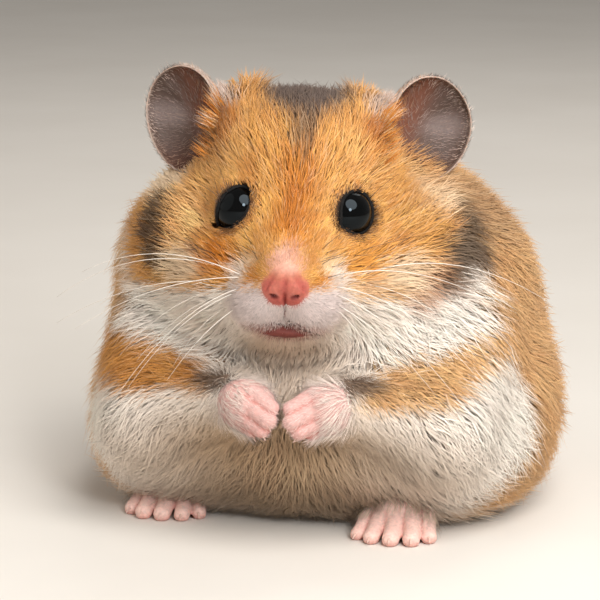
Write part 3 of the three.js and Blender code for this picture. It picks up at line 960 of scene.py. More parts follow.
def head_marks(q):
    """The colour of the head's coat, in the head's frame: orange, deeper down the forehead, below the eyes
    and before the ears, with a grey crown, a pink bridge, white lips and cheeks, and cream under the ears.
    Painted shade darkens the hair round the lids, under the chin, round the lower lip and behind the left
    eye, and painted light makes the left cheek golden below the eye."""
    x, y, z = q.T
    m = mirrored(q)
    colour = np.broadcast_to(HEAD_ORANGE, q.shape).copy()
    colour = head_patched(colour, q, BROW_MARKS)
    forehead = band(q, (1.0, -17.5, 10), (0.3, -22.5, 1.5), 3.2, 3.4, 2.6)
    colour = painted(colour, DEEP_ORANGE, 0.85 * forehead)
    # Below the eyes, deep orange on the shaded right and golden on the lit left: painted light and shade.
    under_eye = mix(DEEP_ORANGE, CHEEK_GOLD, ease(-5, 5, x)[:, None])
    colour = painted(colour, under_eye, 0.9 * patch(m, (12.4, -17.8, -5.0), (5.0, 5.0, 3.4), 0.5))
    colour = head_patched(colour, q, DEEP_MARKS)
    colour = painted(colour, BACK_GOLD, ease(0, 8, y) * np.maximum(ease(14, 10, z), ease(4, 11, y)))
    colour = painted(colour, BACK_GREY, 0.6 * np.exp(-(x / 9) ** 2) * ease(5, 11, y))
    colour = head_patched(colour, q, CHEEK_MARKS)
    crown = patch(q, (0.6, -1, 19.0), (7.2, 11.5, 4.6), 0.3)
    point = 0.8 * band(q, (0.9, -8, 17), (1.6, -16.5, 10.6), 4.2, 0.5, 1.6)
    colour = painted(colour, CROWN_GREY, np.maximum(crown, point))
    colour = head_patched(colour, q, BRIDGE_MARKS)
    white_top = -7.9 - 2.2 * ease(8.5, 11, m[:, 0]) - 0.24 * np.maximum(m[:, 0] - 11, 0)
    over_pad = 0.8 * patch(m, (8.0, -21.6, -7.0), (1.8, 2.6, 2.0), 0.5)
    white = np.maximum(ease(white_top + 0.9, white_top - 0.9, z), over_pad)
    lips = patch(m, (3.5, -24, -11), (6.5, 6, 5), 0.4)
    colour = painted(colour, mix(WHITE, LIP_WHITE, lips[:, None]), white)
    colour = head_patched(colour, q, CHIN_MARKS)
    # Painted shade: the thin hair round the lids darkened to brown.
    return painted(colour, LID_SHADE_BROWN, 0.85 * ease(1.6, 0.4, lid_gap(q)))


def nose_distance(q):
    """Distance to the pad of the nose: its core, its two wings and its base."""
    m = mirrored(q)
    nose = np.minimum(ellipsoid_distance(q, *NOSE_CORE), ellipsoid_distance(m, *NOSE_WINGS))
    return np.minimum(nose, ellipsoid_distance(m, *NOSE_BASE))


def skin_colours(p):
    """The coat's colour, a little darker, where hair grows; nose, mouth, lids and tail have their own, with
    painted shade in the nostrils, the cleft, the mouth and the lower lip, and in the holes over the eyes.
    """
    _, trunk, head, _ = coat_distance(p)
    colour = coat_marks(p, ease(2, -2, head - trunk)) * 0.86
    q = to_head(p)
    m = mirrored(q)
    muzzle = ease(*MUZZLE_FRONT, q[:, 1])
    nose = nose_distance(q)
    colour = painted(colour, BRIDGE_PINK, patch(q, (0, -25.0, -3.5), (3.0, 4, 3.4), 0.4))
    pad = ease(1.0, 0.1, nose) * ease(-3.9, -7.0, q[:, 2])
    colour = painted(colour, NOSE_PINK, pad)
    red = np.maximum(np.exp(-(q[:, 0] / 0.7) ** 2), ease(-8.4, -9.8, q[:, 2]))
    colour = painted(colour, NOSE_RED, 0.7 * pad * red * ease(-4.5, -7.0, q[:, 2]))
    colour = painted(colour, NOSE_RED, 0.5 * pad * ease(0.9, 0.2, taper_distance(m, *NOSE_GROOVE)))
    # Nostrils and cleft: red skin with painted shade in the hollows.
    for bar in NOSTRIL:
        colour = painted(colour, HOLLOW_SHADE_RED, ease(0.3, -0.05, taper_distance(m, *bar)))
    cleft = ease(0.24, 0.06, m[:, 0]) * ease(-8.0, -9.2, q[:, 2]) * ease(-15, -14, q[:, 2]) * muzzle
    colour = painted(colour, HOLLOW_SHADE_RED * 1.5, 0.85 * cleft)
    # Mouth's line and lower lip: the lips' red darkened as painted shade, darkest in the slit's middle.
    mouth = ease(0.6, 0.1, np.abs(q[:, 2] - mouth_line(q[:, 0])))
    mouth = mouth * ease(4.5, 1.5, m[:, 0]) * ease(-19, -21, q[:, 1])
    colour = painted(colour, LIP_SHADE_RED, np.maximum(mouth, ease(1.0, 0.0, ellipsoid_distance(q, *LOWER_LIP))))
    colour = painted(colour, HOLLOW_SHADE_RED * 0.6, mouth * np.exp(-(q[:, 0] / 1.3) ** 2))
    # Dark lid skin round each opening, carried down the hole over the eyeball as painted shade.
    for side in (1, -1):
        along, outside = about_eye(q, side)
        colour = painted(colour, LID_DARK, ease(1.1, 0.35, outside) * ease(-1, 0.5, along))
    tail = taper_distance(p, *TAIL)
    return painted(colour, HAND_PINK * 0.9, ease(0.6, 0.1, tail))


def paw_colours(bare_pink, first, second, under, crease_share):
    """Bare pink skin with painted shade, redder and darker, where the two nearest toes or fingers meet
    and where it faces down.
    """
    crease = ease(0.55, 0.0, second - first) * ease(0.9, 0.2, first)
    pink = np.broadcast_to(bare_pink, (len(first), 3)).copy()
    return painted(painted(pink, PAW_CREASE_SHADE, crease_share * crease), PAW_CREASE_SHADE, 0.35 * under)


# ---- skin ----

FINE, MIDDLE, COARSE = 0.28, 0.55, 1.3     # steps of the grid that the skin is wrapped on
HAND_STEP, FOOT_STEP = 0.3, 0.4
BODY_LINES = (
    graded_lines(-44, 44, [(-4.5, 8, FINE), (-15, 15, MIDDLE)], COARSE),
    graded_lines(-47, 46, [(-44, -38, FINE), (-40, -26, MIDDLE)], COARSE),
    graded_lines(-1, 74, [(33, 48, FINE), (30, 58, MIDDLE)], COARSE),
)


def body_skin():
    """Skin of the trunk, head, arms and tail as one wrapped surface: (points, quads, triangles, colours)."""
    points, quads = wrapped_surface(skin_distance, BODY_LINES)
    return points, quads, np.zeros((0, 3), int), skin_colours(points)


def hands_skin():
    """Skin of both hands, wrapped finely, with redder painted shade where fingers meet and underneath."""
    lines = (even_lines(HANDS_MIDDLE - 14, HANDS_MIDDLE + 14, HAND_STEP),
             even_lines(-46, -32, HAND_STEP), even_lines(16, 30, HAND_STEP))
    points, quads = wrapped_surface(hand_distance, lines)
    q = mirrored(points, HANDS_MIDDLE)
    apart = np.sort(np.stack([finger_distance(q, finger) for finger in FINGERS]), axis=0)
    colours = paw_colours(HAND_PINK, apart[0], apart[1], ease(22, 18, points[:, 2]), 0.6)
    return points, quads, np.zeros((0, 3), int), colours


def foot_skin(side):
    """Skin of one foot, wrapped finely, with redder painted shade where toes meet and underneath."""
    x, y = FOOT_PLACES["left" if side > 0 else "right"]
    lines = (even_lines(x - 9, x + 9, FOOT_STEP), even_lines(y - 7, y + 20, FOOT_STEP),
             even_lines(-0.9, 9.5, FOOT_STEP))
    points, quads = wrapped_surface(lambda p: foot_distance(p, side), lines)
    q = on_foot(points, side)
    apart = np.sort(np.stack([plain_toe_distance(q, *toe) for toe in TOES]), axis=0)
    colours = paw_colours(FOOT_PINK, apart[0], apart[1], ease(1.2, 0.4, points[:, 2]), 0.7)
    return points, quads, np.zeros((0, 3), int), colours


def ear_place(side):
    """(middle, axes as columns) of an ear's cup, in the head's frame; its opening looks along -y."""
    pitch, yaw, roll = (math.radians(angle) for angle in EAR_TURN)
    return on_side(side, EAR_PLACE), turn_matrix(pitch, side * yaw, side * roll)


EAR_FOLDS = [(0.9, 0.45), (0.7, -0.1)]     # height, and place across the ear
EAR_FOLD_WIDTH = 0.14
EAR_FLARE = 0.10                          # how much wider the ear is at its top than at its middle
EAR_SPREAD = {1: 0.14, -1: 0}             # how much further each ear's outer edge stands out
EAR_ROWS, EAR_COLUMNS = 40, 64


def ear_shell(side, polar, around, inward):
    """Points of an ear's cup: an ellipsoid by its polar angle from the cup's bottom and the angle around,
    drawn in by inward millimetres, wider above than below, with soft folds down its back wall's inside."""
    rx, ry, rz = EAR_RADII
    fold = sum(height * np.exp(-((np.cos(around) - place) / EAR_FOLD_WIDTH) ** 2)
               * np.sin(np.clip(polar, 0, math.pi)) ** 2 for height, place in EAR_FOLDS)
    shrink = inward + fold * (inward > 0.05) * ease(1.55, 1.1, polar)
    x = (rx - shrink) * np.sin(polar) * np.cos(around) * side
    y = (ry - shrink) * np.cos(polar)
    z = (rz - shrink) * np.sin(polar) * np.sin(around)
    x = x * (1 + EAR_FLARE * z / rz + EAR_SPREAD[side] * ease(0, rx, x * side))
    middle, axes = ear_place(side)
    return from_head(np.stack([x, y, z], -1) @ axes.T + middle)


def ear_skin(side):
    """Skin of one ear: a closed cup whose section s runs from 0 at the bottom of its inner wall over the thin
    round rim at 0.5 to 1 at the bottom of its outer wall."""
    s = np.linspace(0, 1, EAR_ROWS)[:, None]
    around = np.linspace(0, 2 * math.pi, EAR_COLUMNS, endpoint=False)[None, :]
    inner = ease(0.54, 0.46, s) * np.ones_like(around)
    polar = EAR_RIM_ANGLE * np.clip(np.where(s < 0.5, s / 0.48, (1 - s) / 0.48), 0.02, 1) + 0 * around
    wall = EAR_WALL * (0.35 + 0.65 * ease(EAR_RIM_ANGLE, 0.6, polar))
    over_rim = 0.05 * np.sin(math.pi * np.clip((s - 0.46) / 0.08, 0, 1))
    rings = ear_shell(side, polar + over_rim, around, wall * inner)
    points, quads, triangles = closed_tube(rings, outward=side < 0)
    section = np.concatenate([(s + 0 * around).ravel(), [0, 1]])
    out, high = (np.concatenate([(np.sin(polar) * wave(around)).ravel(), [0, 0]])
                 for wave in (np.cos, np.sin))
    return points, quads, triangles, ear_colours(section, out, high)


def ear_colours(section, out, high):
    """Colours of an ear by its section and by how far out and how high a place lies, as parts of the ear's
    radii: brown-grey inside, lilac in a spot out of its middle, redder towards the head, with painted shade
    low down in the cup, and a pale rim and back."""
    lilac = ease(1.3, 0.2, np.hypot((out - 0.6) / 0.55, (high - 0.14 - 0.2 * out) / 0.3))
    colours = np.broadcast_to(EAR_INSIDE, (len(section), 3))
    colours = painted(colours, EAR_DEEP, 0.9 * ease(0.45, -0.35, out) * ease(-1.0, 0.2, high))
    colours = painted(colours, EAR_LILAC, 0.5 * lilac)
    # Painted shade in the low hollow of the cup.
    colours = painted(colours, EAR_DEEP * 0.4, 0.85 * ease(-0.1, -0.85, high))
    colours = painted(colours, EAR_BACK, ease(0.48, 0.56, section))
    return painted(colours, EAR_RIM, 0.8 * np.exp(-((section - 0.5) / 0.03) ** 2))


LID_ROWS, LID_COLUMNS = 96, 10
LID_RING = (0.26, 0.15)                   # half width and half height of the ring's section


def lid_skin(side):
    """Dark wet edge of one eye's lids: a thin ring on the ball, round the opening between them."""
    around = np.linspace(0, 2 * math.pi, LID_ROWS, endpoint=False)[:, None]
    section = np.linspace(0, 2 * math.pi, LID_COLUMNS, endpoint=False)[None, :]
    axis, level, up = eye_frame(side)
    opening = lid_opening(side, around) + 0.05
    rest = np.sqrt(np.maximum((EYE_RADIUS + 0.1) ** 2 - opening ** 2, 0.1))
    uneven = 1 + 0.25 * np.sin(3 * around + 1) * np.sin(5 * around)
    out = opening + 0.08 + LID_RING[0] * uneven * np.cos(section)
    height = rest - 0.06 + LID_RING[1] * uneven * np.sin(section)
    place = on_side(side, EYE_PLACE) + height[..., None] * axis
    place = place + (out * np.cos(around))[..., None] * level + (out * np.sin(around))[..., None] * up
    points, quads, triangles = closed_ring(from_head(place))
    paler_outside = (1 + 0.5 * np.cos(section) + 0 * around).reshape(-1, 1)
    return points, quads[:, ::-1], triangles, np.broadcast_to(LID_DARK, (len(points), 3)) * paler_outside


def joined_meshes(parts):
    """Several (points, quads, triangles, colours) as one."""
    first = np.cumsum([0] + [len(part[0]) for part in parts])
    points = np.concatenate([part[0] for part in parts])
    quads = np.concatenate([part[1] + n for part, n in zip(parts, first)])
    triangles = np.concatenate([part[2] + n for part, n in zip(parts, first)])
    return points, quads, triangles, np.concatenate([part[3] for part in parts])


SKIN_NODES = ["head", "nose", "trunk", "tail"] + [
    f"{part}_{side}" for part in ("ear", "arm", "hand", "haunch", "foot") for side in ("left", "right")]
body = body_skin()
hands = hands_skin()
feet = {side: foot_skin(side) for side in (1, -1)}
ears = {side: ear_skin(side) for side in (1, -1)}
lids = [lid_skin(side) for side in (1, -1)]
skin = joined_meshes([body, hands, feet[1], feet[-1], ears[1], ears[-1], *lids])
skin_material = skin_finish()
make_piece("skin", *skin[:3], skin_material, "pink_skin", SKIN_NODES, colours=skin[3])


# ---- eyes ----

EYE_ROWS, EYE_COLUMNS = 40, 56
EYE_POLE = 0.03                           # radius of the small flat at each pole, as an angle


def eyeball(side):
    """A ball of rings about the eye's own axis, closed at both poles."""
    polar = np.linspace(EYE_POLE, math.pi - EYE_POLE, EYE_ROWS)[:, None]
    around = np.linspace(0, 2 * math.pi, EYE_COLUMNS, endpoint=False)[None, :]
    axis, level, up = eye_frame(side)
    place = on_side(side, EYE_PLACE) + EYE_RADIUS * (
        np.cos(polar)[..., None] * axis + (np.sin(polar) * np.cos(around))[..., None] * level
        + (np.sin(polar) * np.sin(around))[..., None] * up)
    return closed_tube(from_head(place), outward=False)


eye_material = eye_finish()
for name, side in (("left", 1), ("right", -1)):
    make_piece(f"eyeball_{name}", *eyeball(side), eye_material, "eye", [f"eye_{name}"])


# ---- coat ----

rng = np.random.default_rng(2024)
CLUMP_SIZE = 2.6
ROOT_DEPTH = 0.3                          # how far a tuft starts under the skin
EAR_TUFT = ((9.0, -1.0, 17.8), (2.2, 4.0, 3.5))            # stands up beside the ear
EAR_FRINGE = ((15.3, -3.5, 12.5), (2.6, 5.5, 7.0))         # lies up and out before the ear
EAR_CLEARING = ((17.2, -4.0, 8.8), (4.0, 7, 7.5))          # is short, so that the ear's cup shows
EAR_TUFT_SHARES = (0.6, 1.0)              # of the left ear and of the right one
BLADE_TAPER, BLADE_RIDGE, BLADE_LEAN = 0.92, 0.7, 0.25
TUFT_LENGTH = (0.5, 2.15)                 # and how much more for each mm of the coat's depth
TUFT_WIDTH = (0.108, 0.009)               # and how much more for each mm of the tuft's length
MUZZLE_MIDDLE, MOUTH_MIDDLE = np.array([0, -25, -11]), np.array([0, -24, -14.6])
COAT_LAYERS = (4.6, 11.0)                 # how many tufts lie over each other, where thin and where deep
MOST_TUFTS = 34                           # on a square millimetre
TUFT_SHARES = (0.45, 1.0)                 # how far along a tuft its middle and its tip are


def split_faces(quads, triangles):
    """Every quad as two triangles, with the triangles after them."""
    return np.concatenate([quads[:, [0, 1, 2]], quads[:, [0, 2, 3]], triangles])


def scattered(points, triangles, per_mm2):
    """Random places on a mesh, as many on each triangle as its area times per_mm2 says: (places, normals)."""
    a, b, c = (points[triangles[:, i]].astype(float) for i in range(3))
    cross = np.cross(b - a, c - a)
    area = lengths(cross) / 2
    wanted = np.cumsum(area * per_mm2((a + b + c) / 3))
    count = int(wanted[-1])
    pick = np.searchsorted(wanted, (np.arange(count) + rng.uniform(0, 1, count)) * wanted[-1] / count)
    pick = np.minimum(pick, len(triangles) - 1)
    u, v = rng.uniform(0, 1, (2, count))
    flip = u + v > 1
    u, v = np.where(flip, 1 - u, u)[:, None], np.where(flip, 1 - v, v)[:, None]
    places = a[pick] + (b - a)[pick] * u + (c - a)[pick] * v
    return places.astype(np.float32), unit(cross[pick])


def hair_size(p, depth):
    """Length and root width of a tuft: over twice as long as the coat is deep, so that it lies at about
    twenty-five degrees, and both smaller round the nose, the mouth and the lids."""
    q = to_head(p)
    fine = ease(4, 11, lengths(q - MUZZLE_MIDDLE))
    mouth = ease(1.5, 5, lengths((q - MOUTH_MIDDLE) * np.array([0.5, 1, 1])))
    lid = ease(0.2, 3.2, lid_gap(q))
    length = (TUFT_LENGTH[0] + TUFT_LENGTH[1] * depth) * mix(0.85, 1, fine)
    width = (TUFT_WIDTH[0] + TUFT_WIDTH[1] * length) * mix(0.62, 1, fine) * mix(0.75, 1, lid)
    return length * mix(0.38, 1, mouth) * mix(0.5, 1, lid), width


def bare(p):
    """1 where nothing grows: on the pad of the nose, the mouth's slit, the middle of the lip and the eyes."""
    q = to_head(p)
    out = np.abs(q[:, 0])
    ahead = q[:, 1] < MUZZLE_FRONT[0]
    slit = np.abs(q[:, 2] - mouth_line(q[:, 0]) + 0.3) - mix(0.5, -0.2, ease(0.5, 3.0, out))
    slit = np.where((out < MOUTH_HALF_WIDTH) & ahead, slit, FAR)
    cleft = np.maximum(out + 0.06, np.abs(q[:, 2] + 12) - 2.4)
    hidden = np.minimum(nose_distance(q) + 0.1 + 0.8 * ease(-6.6, -5.0, q[:, 2]), slit)
    hidden = np.minimum(hidden, np.where(ahead, cleft, FAR))
    for side in (1, -1):
        hidden = np.minimum(hidden, eye_hole(q, side) - 0.2)
    return ease(0.25, 0.0, hidden)


def tufts_per_mm2(p):
    """Tufts on each square millimetre, so that they lie several deep whatever their size."""
    p = p.astype(np.float32)
    depth = coat_depth(p, *coat_distance(p)[1:])
    length, width = hair_size(p, depth)
    layers = mix(*COAT_LAYERS, ease(1, 3.5, depth))
    number = np.minimum(layers / (length * width), MOST_TUFTS)
    underneath = mix(0.12, 1, ease(1.2, 4.5, p[:, 2]))
    return number * underneath * (1 - bare(p)) * ease(0.5, 1.5, taper_distance(p, *TAIL))


def lie_on_head(q):
    """The way that the head's coat lies, in the head's frame: away from the tip of the nose, and away from
    the eyes close to them, with the tuft beside each ear upright and the fringe before it up and out."""
    m = mirrored(q)
    away = unit(q - NOSE_TIP) + np.array([0, 0.25, 0.0])
    for side in (1, -1):
        along, outside = about_eye(q, side)
        close = np.exp(-(np.maximum(outside, 0) / 1.1) ** 2) * ease(-1, 1, along)
        away = away + 2.0 * unit(q - on_side(side, EYE_PLACE)) * close[:, None]
    tuft = patch(m, *EAR_TUFT, 0.5)[:, None]
    away = away + tuft * np.stack([0.15 * np.sign(q[:, 0]), -0.15 + 0 * q[:, 0], 1.4 + 0 * q[:, 0]], -1)
    fringe = patch(m, *EAR_FRINGE, 0.5)[:, None]
    return away + fringe * np.stack([0.5 * np.sign(q[:, 0]), 0 * q[:, 0], 0.9 + 0 * q[:, 0]], -1)


def lie_on_body(p):
    """The way that the body's coat lies: down and out on the breast and belly, drawn together under the chin,
    to the rear on the back, and spread over the floor low down."""
    x, y, z = p.T
    out = np.tanh(x / 12)
    down_front = np.stack([0.85 * out, 0.1 + 0 * x, -1 + 0 * x], -1)
    throat = ease(14, 7, np.abs(x - HANDS_MIDDLE)) * ease(24, 28, z)
    down_front[:, 0] = mix(down_front[:, 0], -0.06 * (x - HANDS_MIDDLE), throat)
    to_rear = np.stack([0.2 * out, 1 + 0 * x, -0.45 + 0 * x], -1)
    way = mix(down_front, to_rear, ease(-18, 8, y)[:, None])
    low = 0.8 * ease(7, 1.5, z)
    return way + np.stack([low * x / 35, low * y / 35, 0.45 * low], -1)


def lie_of_coat(p, on_head):
    """The way that the coat lies before it is laid flat: the head's and the body's, mixed."""
    return mix(unit(lie_on_body(p)), unit(lie_on_head(to_head(p)) @ HEAD_TURN.T), on_head[:, None])


def laid_flat(way, normal):
    """A direction with its part along the normal taken out."""
    return unit(way - (way * normal).sum(-1)[:, None] * normal)


def whole_distance(p):
    """Distance to the tips of the coat alone."""
    return coat_distance(p)[0]


def grow(place, normal, length, reach, stray):
    """Stations of every tuft, (station, tuft, 3): each goes on along the lie of the coat, bent towards its
    clump, and is then lifted to its share of the way from skin to tips. Returns them with their normals."""
    to_clump = nearest_clump(place, CLUMP_SIZE) - place
    gather = mix(0.3, 0.15, ease(3, 12, place[:, 2])) * ease(0, 4, lid_gap(to_head(place)))
    at = place - ROOT_DEPTH * normal
    stations, normals = [at], [normal]
    done = 0.0
    for share in TUFT_SHARES:
        _, trunk, head, _ = coat_distance(at)
        way = laid_flat(lie_of_coat(at, ease(3, -3, head - trunk)) + stray, normals[-1])
        pull = laid_flat(to_clump + 1e-4, normals[-1]) * np.minimum(lengths(to_clump), 2)[:, None]
        at = at + (way + gather[:, None] * pull * share) * (length * (share - done))[:, None]
        at = at.astype(np.float32)
        here, slope = distance_and_slope(whole_distance, at)
        steep = np.maximum(lengths(slope), 0.5)
        normal_here = unit(slope)
        rise = 1 - (1 - share) ** 1.6
        target = -coat_depth(at, *coat_distance(at)[1:]) * (1 - reach * rise)
        at = at - np.clip((here - target) / steep, -4, 4)[:, None] * normal_here
        at[:, 2] = np.maximum(at[:, 2], COAT_FLOOR)
        stations.append(at)
        normals.append(normal_here)
        done = share
    return np.stack(stations), np.stack(normals)


def blade_faces(rows):
    """Faces of one blade that has a ring of three points at each station but the last, which is its tip, with
    each corner's place in the tuft's own small patch, between about -0.5 and 0.5: (quads, triangles, quad
    corners, triangle corners)."""
    quads, triangles, quad_corners, triangle_corners = [], [], [], []
    for row in range(rows - 2):
        for j in range(3):
            k = (j + 1) % 3
            quads.append([(row + 1) * 3 + j, (row + 1) * 3 + k, row * 3 + k, row * 3 + j])
            low, high = row / (rows - 1) - 0.5, (row + 1) / (rows - 1) - 0.5
            left, right = j / 3 - 0.5, (j + 1) / 3 - 0.5
            quad_corners.append([(left, high), (right, high), (right, low), (left, low)])
    last, tip = (rows - 2) * 3, (rows - 1) * 3
    low = (rows - 2) / (rows - 1) - 0.5
    for j in range(3):
        k = (j + 1) % 3
        triangles.append([tip, last + k, last + j])
        triangle_corners.append([((j + 0.5) / 3 - 0.5, 0.5), ((j + 1) / 3 - 0.5, low), (j / 3 - 0.5, low)])
    triangles.append([0, 1, 2])
    triangle_corners.append([(-0.3, -0.52), (0, -0.75), (0.3, -0.52)])
    return [np.array(each) for each in (quads, triangles, quad_corners, triangle_corners)]


def blades(stations, normals, width, colours):
    """Closed three-sided tapering blades along stations: a flat base towards the skin, a low ridge away from
    it, a cap at the root and a point at the tip. Returns (points, quads, triangles, colours, normals)."""
    rows, count = stations.shape[:2]
    way = np.gradient(stations, axis=0)
    side = unit(np.cross(normals, way))
    shares = np.linspace(0, 1, rows)
    half = width[None, :] / 2 * np.sqrt(1 - BLADE_TAPER * shares[:, None] ** 2)
    ring_side = side[:-1] * half[:-1, :, None]
    ring_up = normals[:-1] * half[:-1, :, None] * BLADE_RIDGE
    rings = np.stack([stations[:-1] - ring_side, stations[:-1] + ring_up, stations[:-1] + ring_side], axis=2)
    lean = np.stack([-side[:-1], np.zeros_like(side[:-1]), side[:-1]], axis=2)
    ring_normals = unit(normals[:-1, :, None] + BLADE_LEAN * lean)
    points, shading = (
        np.concatenate([ring.transpose(1, 0, 2, 3).reshape(count, -1, 3), tip[:, None]], axis=1)
        for ring, tip in ((rings, stations[-1]), (ring_normals, normals[-1])))
    tinted = np.repeat(colours.transpose(1, 0, 2), [3] * (rows - 1) + [1], axis=1)
    quads, triangles, _, _ = blade_faces(rows)
    first = np.arange(count)[:, None, None] * points.shape[1]
    return (points.reshape(-1, 3), (quads[None] + first).reshape(-1, 4),
            (triangles[None] + first).reshape(-1, 3), tinted.reshape(-1, 3), shading.reshape(-1, 3))


TUFT_PATCH = 0.003
MAP_REACH = 0.48                          # radius of a piece's part of its map
MOST_TRIANGLES = 200_000


def unwrapped(places, hub):
    """Each place by its direction from a hub inside the body: the angle from the piece's middle direction,
    taken outwards from the map's centre, so that the piece's skin opens out flat."""
    rays = unit(places - hub)
    axis = unit(rays.mean(0))
    level = unit(np.cross([0.1, 0.2, 1], axis))
    other = np.cross(axis, level)
    angle = np.arccos(np.clip(rays @ axis, -1, 1))
    around = np.arctan2(rays @ other, rays @ level)
    spread = MAP_REACH * angle / angle.max()
    return 0.5 + np.stack([spread * np.cos(around), spread * np.sin(around)], -1)


def tuft_map(home, rows):
    """Map of every face corner: its tuft's home, with a small patch of the tuft's own round it."""
    _, _, *corners = blade_faces(rows)
    return np.concatenate([(home[:, None] + TUFT_PATCH * each.reshape(1, -1, 2)).reshape(-1, 2)
                           for each in corners])


def make_coat(name, stations, normals, width, colours, slot, hub):
    """One piece of the coat, with its map of tuft patches."""
    points, quads, triangles, tinted, shading = blades(stations, normals, width, colours)
    if 2 * len(quads) + len(triangles) >= MOST_TRIANGLES:
        raise SystemExit(f"{name} has {2 * len(quads) + len(triangles)} triangles")
    make_piece(name, points, quads, triangles, coat_material, slot, colours=tinted, normals=shading,
               uv=tuft_map(unwrapped(stations[0], hub), len(stations)))


LOCK_SCATTER = 7                          # takes neighbouring clumps to cells of the table that lie apart


def lock_shade(place, size, number):
    """One random number between -1 and 1 for each lock, that is for all the tufts nearest to one clump."""
    cell = np.floor(nearest_clump(place, size) * LOCK_SCATTER).astype(int) % LATTICE
    return CLUMP_TABLE[tuple(cell.T)][:, number:number + 1]


TUFT_SHADE = 0.10                         # how much tufts differ from each other
DARK_SHARE, DARK_SHADE = 0.07, 0.7        # share of the tufts that are darker, and by what
LIT_SHARE, LIT_MIX = 0.16, 0.2            # share of the golden tufts that are paler, and how near to cream
ROOT_SHADE, TIP_SHADE = (0.68, 0.95), (1.14, 1.04)      # for golden tufts and for pale ones
LIGHTEST = 0.97
LOCK_YELLOW, LOCK_PALE = np.array([0.16, 0.26, 0.30]), 0.05 * np.ones(3)   # how much locks differ, by channel


def shaded_stations(colour, pale, dark_share=0.0):
    """A tuft's colour at its root, middle and tip: shaded by chance, darker at the root, paler at the tip."""
    count = len(colour)
    colour = colour * np.exp(rng.normal(0, TUFT_SHADE, (count, 1)) * (1 - 0.7 * pale))
    colour = colour * np.where(rng.uniform(0, 1, (count, 1)) < dark_share * (1 - 0.6 * pale), DARK_SHADE, 1)
    lit = LIT_MIX * (rng.uniform(0, 1, (count, 1)) < LIT_SHARE) * (1 - pale)
    colour = mix(colour, CREAM, lit)
    tip = np.minimum(colour * mix(*TIP_SHADE, pale) + 0.015, LIGHTEST)
    return np.stack([colour * mix(*ROOT_SHADE, pale), colour, tip])


def hair_colours(place, stations):
    """Colours along every tuft: the marking where the tuft lies uppermost, read with a wandering border, and
    the shade of its lock, towards yellow in some locks and towards brown in others."""
    seen = mix(stations[1], stations[2], 0.3).astype(np.float32)
    _, trunk, head, _ = coat_distance(seen)
    astray = seen + 0.9 * wander(place, 5.0) + rng.normal(0, 0.6, place.shape)
    colour = coat_marks(astray, ease(2.5, -2.5, head - trunk))
    pale = ease(0.22, 0.6, colour[:, 2] / np.maximum(colour[:, 0], 1e-3))[:, None]
    lock = 0.6 * lock_shade(place, 1.5, 0) + 0.6 * lock_shade(place, CLUMP_SIZE, 1)
    colour = colour * np.exp(lock * mix(LOCK_YELLOW, LOCK_PALE, pale))
    return shaded_stations(np.minimum(colour, 0.95), pale, DARK_SHARE)


coat_material = coat_finish()
HEAD_HUB = from_head(np.array([0.0, -2.0, -2.0]))
BODY_HUB = np.array([0.0, 2.0, 28.0])
# Pieces of the coat: (name, middle of its part of the skin, slot). A tuft belongs to the nearest middle.
HEAD_PIECES = [("muzzle", (0, -24, -8), "white_fur"), ("brow", (0, -18, 8), "golden_fur"),
               ("crown", (0, 3, 19), "golden_fur"),
               ("cheek_left", (19, -12, -5), "golden_fur"), ("cheek_right", (-19, -12, -5), "golden_fur"),
               ("nape_left", (22, 8, 2), "golden_fur"), ("nape_right", (-22, 8, 2), "golden_fur")]
BODY_PIECES = [("breast", (0, -34, 27), "white_fur"), ("belly", (0, -33, 10), "white_fur"),
               ("shoulder_left", (28, -26, 28), "golden_fur"),
               ("shoulder_right", (-28, -26, 28), "golden_fur"),
               ("flank_left", (34, -8, 12), "white_fur"), ("flank_right", (-34, -8, 12), "white_fur"),
               ("side_left", (32, 8, 36), "golden_fur"), ("side_right", (-32, 8, 36), "golden_fur"),
               ("back", (0, 26, 50), "golden_fur"), ("rump_left", (18, 32, 20), "golden_fur"),
               ("rump_right", (-18, 32, 20), "golden_fur")]


def owners(place, on_head, pieces):
    """The number of the piece that each place belongs to: the one with the nearest middle, on the head for
    the places of the head and on the body for the others."""
    far = lengths(place[:, None] - np.stack([piece[1] for piece in pieces])[None])
    head_piece = np.array([piece[4] for piece in pieces])
    return (far + np.where(head_piece[None] == (on_head > 0.5)[:, None], 0, 500)).argmin(1)


